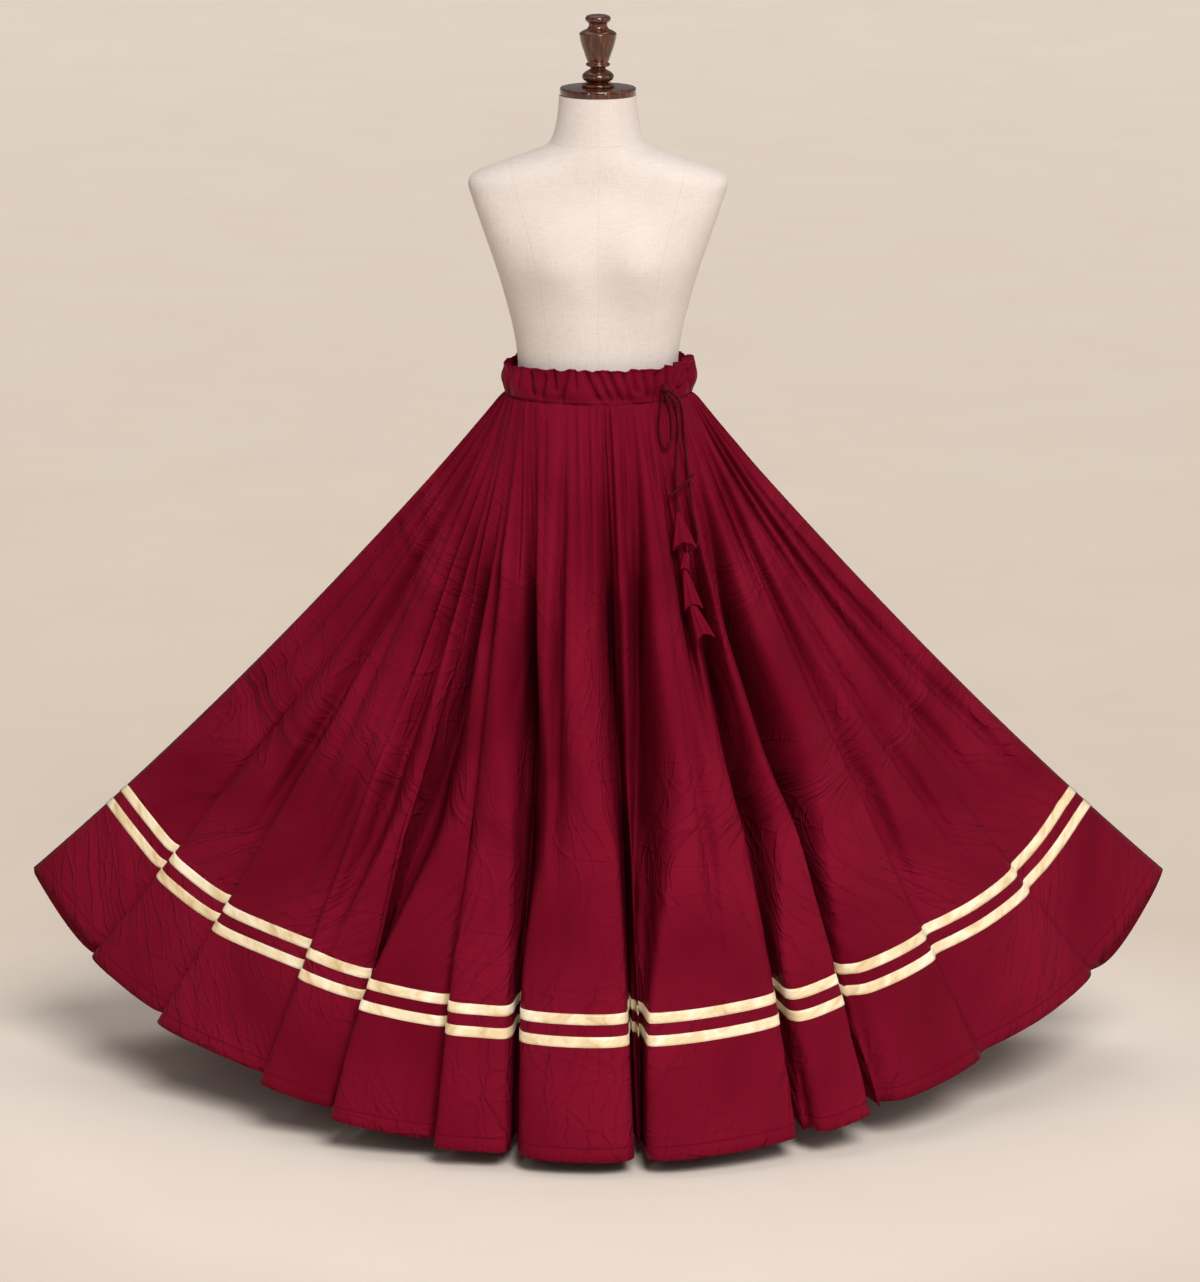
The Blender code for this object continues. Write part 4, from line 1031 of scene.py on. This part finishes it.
satin_bump = node(satin, "Bump", {"Strength": 0.10, "Distance": 0.0002}, Height=satin_ribs)
satin_bump = node(
    satin, "Bump", {"Strength": 0.35, "Distance": 0.0014}, Height=ripple_and_painted_sheen, Normal=satin_bump
)
satin_settings = {"Roughness": 0.33, "IOR": 1.5, "Sheen Weight": 0.2}
finish_shader(satin, satin_shader, satin_painted_sheen_tone, satin_bump, satin_settings)

for level, top_row in ribbon_top_row.items():
    for side, columns in (("front", front_columns), ("back", back_columns)):
        rows = np.arange(top_row, top_row + RIBBON_ROWS + 1)
        strip = skirt_points[rows][:, columns]
        lift = skirt_normals[rows][:, columns]
        under = parted(strip + lift * RIBBON_LIFT, SEAM_GAP)
        over = parted(strip + lift * (RIBBON_LIFT + RIBBON_THICKNESS), SEAM_GAP)
        name = "ribbon_" + level + "_" + side
        piece = cloth_shell("satin_" + name, over, under, cloth_chart(columns, rows))
        finish_piece(piece, satin, "champagne_satin", name)


# The waistband. A casing of the same taffeta goes once round the waist; the drawstring
# in it pulls it up into slanted puckers and a ruffled top edge, bunched near the knot.
BAND_AROUND = 720
BAND_ROWS = 30
CASING_STITCH_HEIGHT = 0.047
BAND_COLUMNS = ("height", "out")
BAND_RINGS = ((0.0000, 0.0000), (0.0090, 0.0048), (0.0220, 0.0078), (0.0390, 0.0040), (0.0500, 0.0036))
# Puckers, each a trough across the band: where it lies at the seam and at the top edge
# in degrees round the waist, where it begins and ends above the seam, its depth and its
# half width in degrees.
PUCKERS = (
    (-72, -66, 0.000, 0.060, 0.0036, 3.2), (-56, -58, 0.012, 0.060, 0.0030, 2.6),
    (-42, -48, 0.008, 0.060, 0.0046, 2.8), (-37, -34, 0.004, 0.046, 0.0040, 2.2),
    (-25, -30, 0.016, 0.060, 0.0044, 2.4), (-24, -19, 0.000, 0.060, 0.0050, 2.4),
    (-12, -15, 0.020, 0.060, 0.0036, 2.0), (2, -9, 0.000, 0.060, 0.0050, 2.6),
    (9, -1, 0.002, 0.060, 0.0048, 2.4), (15, 6, 0.000, 0.060, 0.0050, 2.4),
    (21, 15, 0.000, 0.052, 0.0040, 2.2), (25, 22, 0.014, 0.060, 0.0044, 2.2),
    (33, 29, 0.004, 0.060, 0.0046, 2.2), (38, 39, 0.000, 0.050, 0.0046, 2.4),
    (45, 49, 0.014, 0.066, 0.0052, 2.2), (47, 60, 0.016, 0.066, 0.0056, 2.4),
    (49, 73, 0.014, 0.066, 0.0052, 2.8), (53, 88, 0.008, 0.066, 0.0050, 3.4),
    (52, 47, 0.000, 0.020, 0.0046, 2.4), (62, 54, 0.000, 0.022, 0.0040, 2.8),
    (78, 70, 0.000, 0.040, 0.0036, 3.2), (100, 104, 0.000, 0.066, 0.0040, 3.4),
    (116, 111, 0.006, 0.060, 0.0044, 2.8), (124, 129, 0.000, 0.060, 0.0048, 2.6),
    (140, 136, 0.010, 0.060, 0.0040, 2.4), (149, 153, 0.000, 0.060, 0.0050, 2.6),
    (163, 158, 0.000, 0.052, 0.0044, 2.4), (171, 174, 0.014, 0.060, 0.0042, 2.2),
    (184, 179, 0.000, 0.060, 0.0050, 2.6), (193, 197, 0.004, 0.060, 0.0040, 2.2),
    (207, 203, 0.000, 0.060, 0.0048, 2.6), (216, 220, 0.012, 0.060, 0.0042, 2.4),
    (231, 226, 0.000, 0.056, 0.0046, 2.6), (242, 246, 0.000, 0.060, 0.0040, 2.6),
    (258, 254, 0.010, 0.060, 0.0038, 2.8), (272, 276, 0.000, 0.060, 0.0036, 3.2),
)
PUCKER_SHARPNESS = 1.0
PUCKER_BOOST = 2.6
PUCKER_AT_START = 0.2
PUCKER_STARTS_IN = 0.008
PUCKER_ENDS_IN = 0.010
# The least that the casing stands out at the seam, and how much less it may a metre up,
# so that it stays clear of the form.
CASING_LEAST = (-0.0022, -0.55)
SEAM_BEAD = 0.0010
SEAM_BEAD_PLACE = 0.0035
SEAM_BEAD_WIDTH = 0.0016
# Small waves of the casing, growing to its top edge: how many go round, how far they
# swing, how many times round they wander and by how much.
BROAD_WAVES = (13, 0.0012, 2, 2.2)
FINE_WAVES = (61, 0.0005, 4, 3.0)
FINE_WAVES_AT_SEAM = 0.4
TOP_SCALLOPS = (31, 0.0010, 3, 2.0)
SECOND_SCALLOPS = (17, 0.0007, 0, 0.0)
TOP_PART = 0.6
BUNCH_DEG = 78.0
BUNCH_SPREAD_DEG = 22.0
BUNCH_LIFT = 0.0055
BUNCH_OUT = 0.0040
LOW_CORNER_DEG = 272.0
LOW_CORNER_SPREAD_DEG = 30.0
LOW_CORNER_DROP = 0.0075


def waves(turn, count, height, wander, by):
    """Uneven waves round the waist."""
    return height * np.sin(count * turn + by * np.sin(wander * turn))


band = table(BAND_COLUMNS, BAND_RINGS)
ring_at = np.linspace(len(BAND_RINGS) - 1.0, 0.0, BAND_ROWS)[:, None]
ring_index = np.arange(len(BAND_RINGS), dtype=float)
band_height = hermite(ring_index, band["height"], ring_at)
band_out = hermite(ring_index, band["out"], ring_at)
band_turn = np.linspace(0.0, 2 * np.pi, BAND_AROUND, endpoint=False)[None, :]
band_share = band_height / band["height"].max()
reach = band_out + waves(band_turn, *BROAD_WAVES) * band_share
fine_share = FINE_WAVES_AT_SEAM + (1 - FINE_WAVES_AT_SEAM) * band_share
reach = reach + waves(band_turn, *FINE_WAVES) * fine_share
reach = reach + SEAM_BEAD * np.exp(-(((band_height - SEAM_BEAD_PLACE) / SEAM_BEAD_WIDTH) ** 2))
for low_deg, top_deg, begins, ends, pucker_depth, half_deg in PUCKERS:
    middle = np.radians(low_deg + (top_deg - low_deg) * band_share)
    off = np.abs((band_turn - middle + np.pi) % (2 * np.pi) - np.pi) / math.radians(half_deg)
    shown = np.clip((band_height - begins) / PUCKER_STARTS_IN + PUCKER_AT_START, 0, 1)
    shown = shown * np.clip((ends - band_height) / PUCKER_ENDS_IN, 0, 1)
    reach = reach - PUCKER_BOOST * pucker_depth * shown * np.exp(-(off**PUCKER_SHARPNESS))
reach = np.maximum(reach, CASING_LEAST[0] + CASING_LEAST[1] * band_height)
bunch = np.exp(-(((np.degrees(band_turn) - BUNCH_DEG) / BUNCH_SPREAD_DEG) ** 2))
low_corner = np.exp(-(((np.degrees(band_turn) - LOW_CORNER_DEG) / LOW_CORNER_SPREAD_DEG) ** 2))
reach = reach + BUNCH_OUT * bunch * band_share
top_share = np.clip((band_share - TOP_PART) / (1 - TOP_PART), 0, 1)
lift = BUNCH_LIFT * bunch * band_share - LOW_CORNER_DROP * low_corner * top_share
scallops = waves(band_turn, *TOP_SCALLOPS) + waves(band_turn, *SECOND_SCALLOPS)
lift = lift + scallops * top_share
band_outer = np.stack(
    [
        (WAIST_HALF_WIDTH + reach) * np.sin(band_turn),
        -(WAIST_HALF_DEPTH + reach) * np.cos(band_turn),
        SEAM_Z + band_height + lift,
    ],
    axis=-1,
)
band_inner = band_outer - plan_normals(band_outer) * CLOTH
band_run = band_turn * (WAIST_HALF_WIDTH + WAIST_HALF_DEPTH) / 2
band_chart = np.stack(np.broadcast_arrays(band_run, band_height), axis=-1)
waistband = cloth_shell("waistband", band_outer, band_inner, band_chart, closed=True)
band_taffeta = taffeta_material("maroon_taffeta_casing", 0.5, CASING_STITCH_HEIGHT)
finish_piece(waistband, band_taffeta, "maroon_taffeta", "skirt_waistband")


# The drawstring. A thin tube of the same taffeta comes out of the casing in a knot, a
# small loop and two hanging ends, caught together lower down by a short tie.
CORD_RADIUS = 0.0020
CORD_STEP = 0.0040
KNOT_PLACE = (0.0974, -0.0945, 1.1073)
KNOT_RADII = (0.0060, 0.0050, 0.0065)
KNOT_TURN_DEG = 31.0
KNOT_WRAPS = 3
KNOT_SLANT = 3.0
KNOT_GROOVE = 0.10
CORD_ROUTES = (
    ("drawstring_loop", "object", (
        (0.0943, -0.0964, 1.0996), (0.0930, -0.0925, 1.0880), (0.0905, -0.0965, 1.0690),
        (0.0893, -0.1015, 1.0490), (0.0914, -0.1068, 1.0305), (0.0989, -0.1070, 1.0192),
        (0.1068, -0.0995, 1.0290), (0.1084, -0.0915, 1.0467), (0.1066, -0.0860, 1.0648),
        (0.1020, -0.0870, 1.0860), (0.0973, -0.0946, 1.0993),
    )),
    ("drawstring_end_short", "object", (
        (0.1003, -0.0928, 1.1006), (0.1090, -0.0835, 1.0890), (0.1150, -0.0770, 1.0700),
        (0.1182, -0.0845, 1.0427), (0.1162, -0.0965, 1.0182), (0.1144, -0.1080, 0.9906),
        (0.1144, -0.1168, 0.9639), (0.1163, -0.1224, 0.9411), (0.1173, -0.1266, 0.9284),
    )),
    ("drawstring_end_long", "object", (
        (0.1023, -0.0915, 1.1037), (0.1165, -0.0760, 1.0905), (0.1236, -0.0700, 1.0700),
        (0.1268, -0.0790, 1.0328), (0.1304, -0.0923, 0.9995), (0.1351, -0.1048, 0.9615),
        (0.1391, -0.1163, 0.9279), (0.1453, -0.1235, 0.8994), (0.1467, -0.1293, 0.8826),
        (0.1420, -0.1362, 0.8780), (0.1352, -0.1410, 0.8742), (0.1335, -0.1447, 0.8699),
    )),
    ("drawstring_tie", "bare", (
        (0.1395, -0.0989, 0.9776), (0.1350, -0.1042, 0.9741), (0.1291, -0.1112, 0.9695),
        (0.1202, -0.1186, 0.9635), (0.1128, -0.1232, 0.9583), (0.1047, -0.1308, 0.9533),
    )),
)

# Turned tube of taffeta: the seam spirals round it, so it looks slightly twisted. Its
# colour is painted darker than the same taffeta on the panels, as painted shade.
tube_cloth, tube_shader = material("maroon_taffeta_tube")
where = node(tube_cloth, "TexCoord").outputs["Object"]
twist_map = node(tube_cloth, "Mapping", {"Scale": (500.0, 500.0, 160.0)}, Vector=where)
twist = node(tube_cloth, "TexNoise", {"Scale": 1.0, "Detail": 2.0}, Vector=twist_map)
# Painted shade: these stops are much darker than the panels' taffeta tone.
tube_painted_shade_tone = node(tube_cloth, "ValToRGB", {"stops": ((0.35, "#2C030B"), (0.65, "#4C0816"))}, i0=twist)
twist_bump = node(tube_cloth, "Bump", {"Strength": 0.4, "Distance": 0.0006}, Height=twist)
tube_settings = {"Roughness": 0.5, "IOR": 1.46, "Specular Tint": linear("#D04058")}
finish_shader(tube_cloth, tube_shader, tube_painted_shade_tone, twist_bump, tube_settings)

for name, far_end, route in CORD_ROUTES:
    route = np.array(route)
    steps = np.linalg.norm(np.diff(route, axis=0), axis=1)
    knots = np.concatenate([[0.0], np.cumsum(steps)])
    points_on_cord = int(round(knots[-1] / CORD_STEP)) + 1
    at = np.linspace(0.0, knots[-1], points_on_cord)
    points = np.stack([hermite(knots, route[:, i], at) for i in range(3)], axis=1)
    length = float(np.linalg.norm(np.diff(points, axis=0), axis=1).sum())
    cord_data = bpy.data.curves.new(name + "_tube", "CURVE")
    cord_data.dimensions = "3D"
    cord_data.bevel_depth = CORD_RADIUS
    cord_data.bevel_resolution = 4
    cord_data.use_fill_caps = True
    spline = cord_data.splines.new("POLY")
    spline.points.add(points_on_cord - 1)
    for point, place in zip(spline.points, points):
        point.co = (*place, 1.0)
    cord = put(name + "_tube", cord_data)
    finish_piece(cord, tube_cloth, "maroon_taffeta", name)

bpy.ops.object.select_all(action="DESELECT")
bpy.ops.mesh.primitive_uv_sphere_add(segments=48, ring_count=32, radius=1.0)
knot = bpy.context.object
knot.name = "drawstring_knot_wraps"
turn_sine = math.sin(math.radians(KNOT_TURN_DEG))
turn_cosine = math.cos(math.radians(KNOT_TURN_DEG))
for vertex in knot.data.vertices:
    x, y, z = vertex.co
    swirl = math.atan2(x, z) * KNOT_WRAPS + KNOT_SLANT * y
    grow = 1.0 - KNOT_GROOVE + KNOT_GROOVE * math.cos(swirl)
    x, y, z = (value * radius * grow for value, radius in zip((x, y, z), KNOT_RADII))
    vertex.co = (
        KNOT_PLACE[0] + x * turn_cosine - y * turn_sine,
        KNOT_PLACE[1] + x * turn_sine + y * turn_cosine,
        KNOT_PLACE[2] + z,
    )
bpy.ops.object.shade_smooth()
finish_piece(knot, tube_cloth, "maroon_taffeta", "drawstring_knot")


# The tassels. Scraps of the same taffeta are gathered onto the ends of the drawstring,
# one below another, as small open bells with raw, drooping corners.
TASSEL_AROUND = 72
NO_STITCH = -1.0
TASSEL_ROWS = 16
TASSEL_CLOTH = 0.0008
TASSEL_PLEATS = 7
TASSEL_PLEAT_DEPTH = 0.0016
TASSEL_PLEAT_FADE = 0.4
TASSEL_PLEAT_WANDER = 2.0
TASSEL_FULL_DEPTH = 0.006
TASSEL_RIM_WAVES = (9, 0.0006)
TASSEL_COLUMNS = ("name", "apex", "mouth", "neck", "half_width", "half_depth", "corner")
TASSELS = (
    ("upper", (0.1174, -0.1268, 0.9280), (0.1258, -0.1529, 0.8817), 0.0026, 0.0180, 0.0070, 0.0045),
    ("twist", (0.1296, -0.1449, 0.8700), (0.1263, -0.1572, 0.8482), 0.0050, 0.0062, 0.0052, 0.0010),
    ("middle", (0.1266, -0.1560, 0.8504), (0.1390, -0.1749, 0.7957), 0.0024, 0.0140, 0.0065, 0.0040),
    ("lower", (0.1378, -0.1731, 0.8005), (0.1565, -0.1830, 0.7530), 0.0044, 0.0135, 0.0060, 0.0050),
)
tassel_taffeta = taffeta_material("maroon_taffeta_scrap", 0.4, NO_STITCH)
for tassel_row in TASSELS:
    tassel = dict(zip(TASSEL_COLUMNS, tassel_row))
    apex = np.array(tassel["apex"])
    mouth = np.array(tassel["mouth"])
    length = float(np.linalg.norm(mouth - apex))
    fall = (mouth - apex) / length
    sideways = np.cross(fall, (0.0, 1.0, 0.0))
    sideways /= np.linalg.norm(sideways)
    outward = np.cross(sideways, fall)
    share = np.linspace(0.0, 1.0, TASSEL_ROWS)[:, None]
    turn = np.linspace(0.0, 2 * np.pi, TASSEL_AROUND, endpoint=False)[None, :]
    pleat = TASSEL_PLEAT_DEPTH * share * (1 - TASSEL_PLEAT_FADE * share)
    pleat = pleat * np.cos(TASSEL_PLEATS * turn + TASSEL_PLEAT_WANDER * np.sin(turn))
    pleat = pleat * min(1.0, tassel["half_depth"] / TASSEL_FULL_DEPTH)
    shells = []
    for inset in (0.0, TASSEL_CLOTH):
        wide = tassel["neck"] + (tassel["half_width"] - tassel["neck"]) * share - inset + pleat
        deep = tassel["neck"] + (tassel["half_depth"] - tassel["neck"]) * share - inset + pleat
        drop = tassel["corner"] * share**2 * np.cos(2 * turn)
        drop = drop + TASSEL_RIM_WAVES[1] * share * np.sin(TASSEL_RIM_WAVES[0] * turn)
        shells.append(
            apex
            + (mouth - apex) * share[..., None]
            + (wide * np.cos(turn))[..., None] * sideways
            + (deep * np.sin(turn))[..., None] * outward
            + drop[..., None] * fall
        )
    rim_steps = np.diff(shells[0][-1], axis=0, append=shells[0][-1][:1])
    rim = float(np.linalg.norm(rim_steps, axis=1).sum())
    tassel_chart = np.stack(np.broadcast_arrays(turn / (2 * np.pi) * rim, length * (1 - share)), axis=-1)
    name = "tassel_" + tassel["name"]
    piece = cloth_shell(name + "_bell", shells[0], shells[1], tassel_chart, closed=True)
    finish_piece(piece, tassel_taffeta, "maroon_taffeta", name)
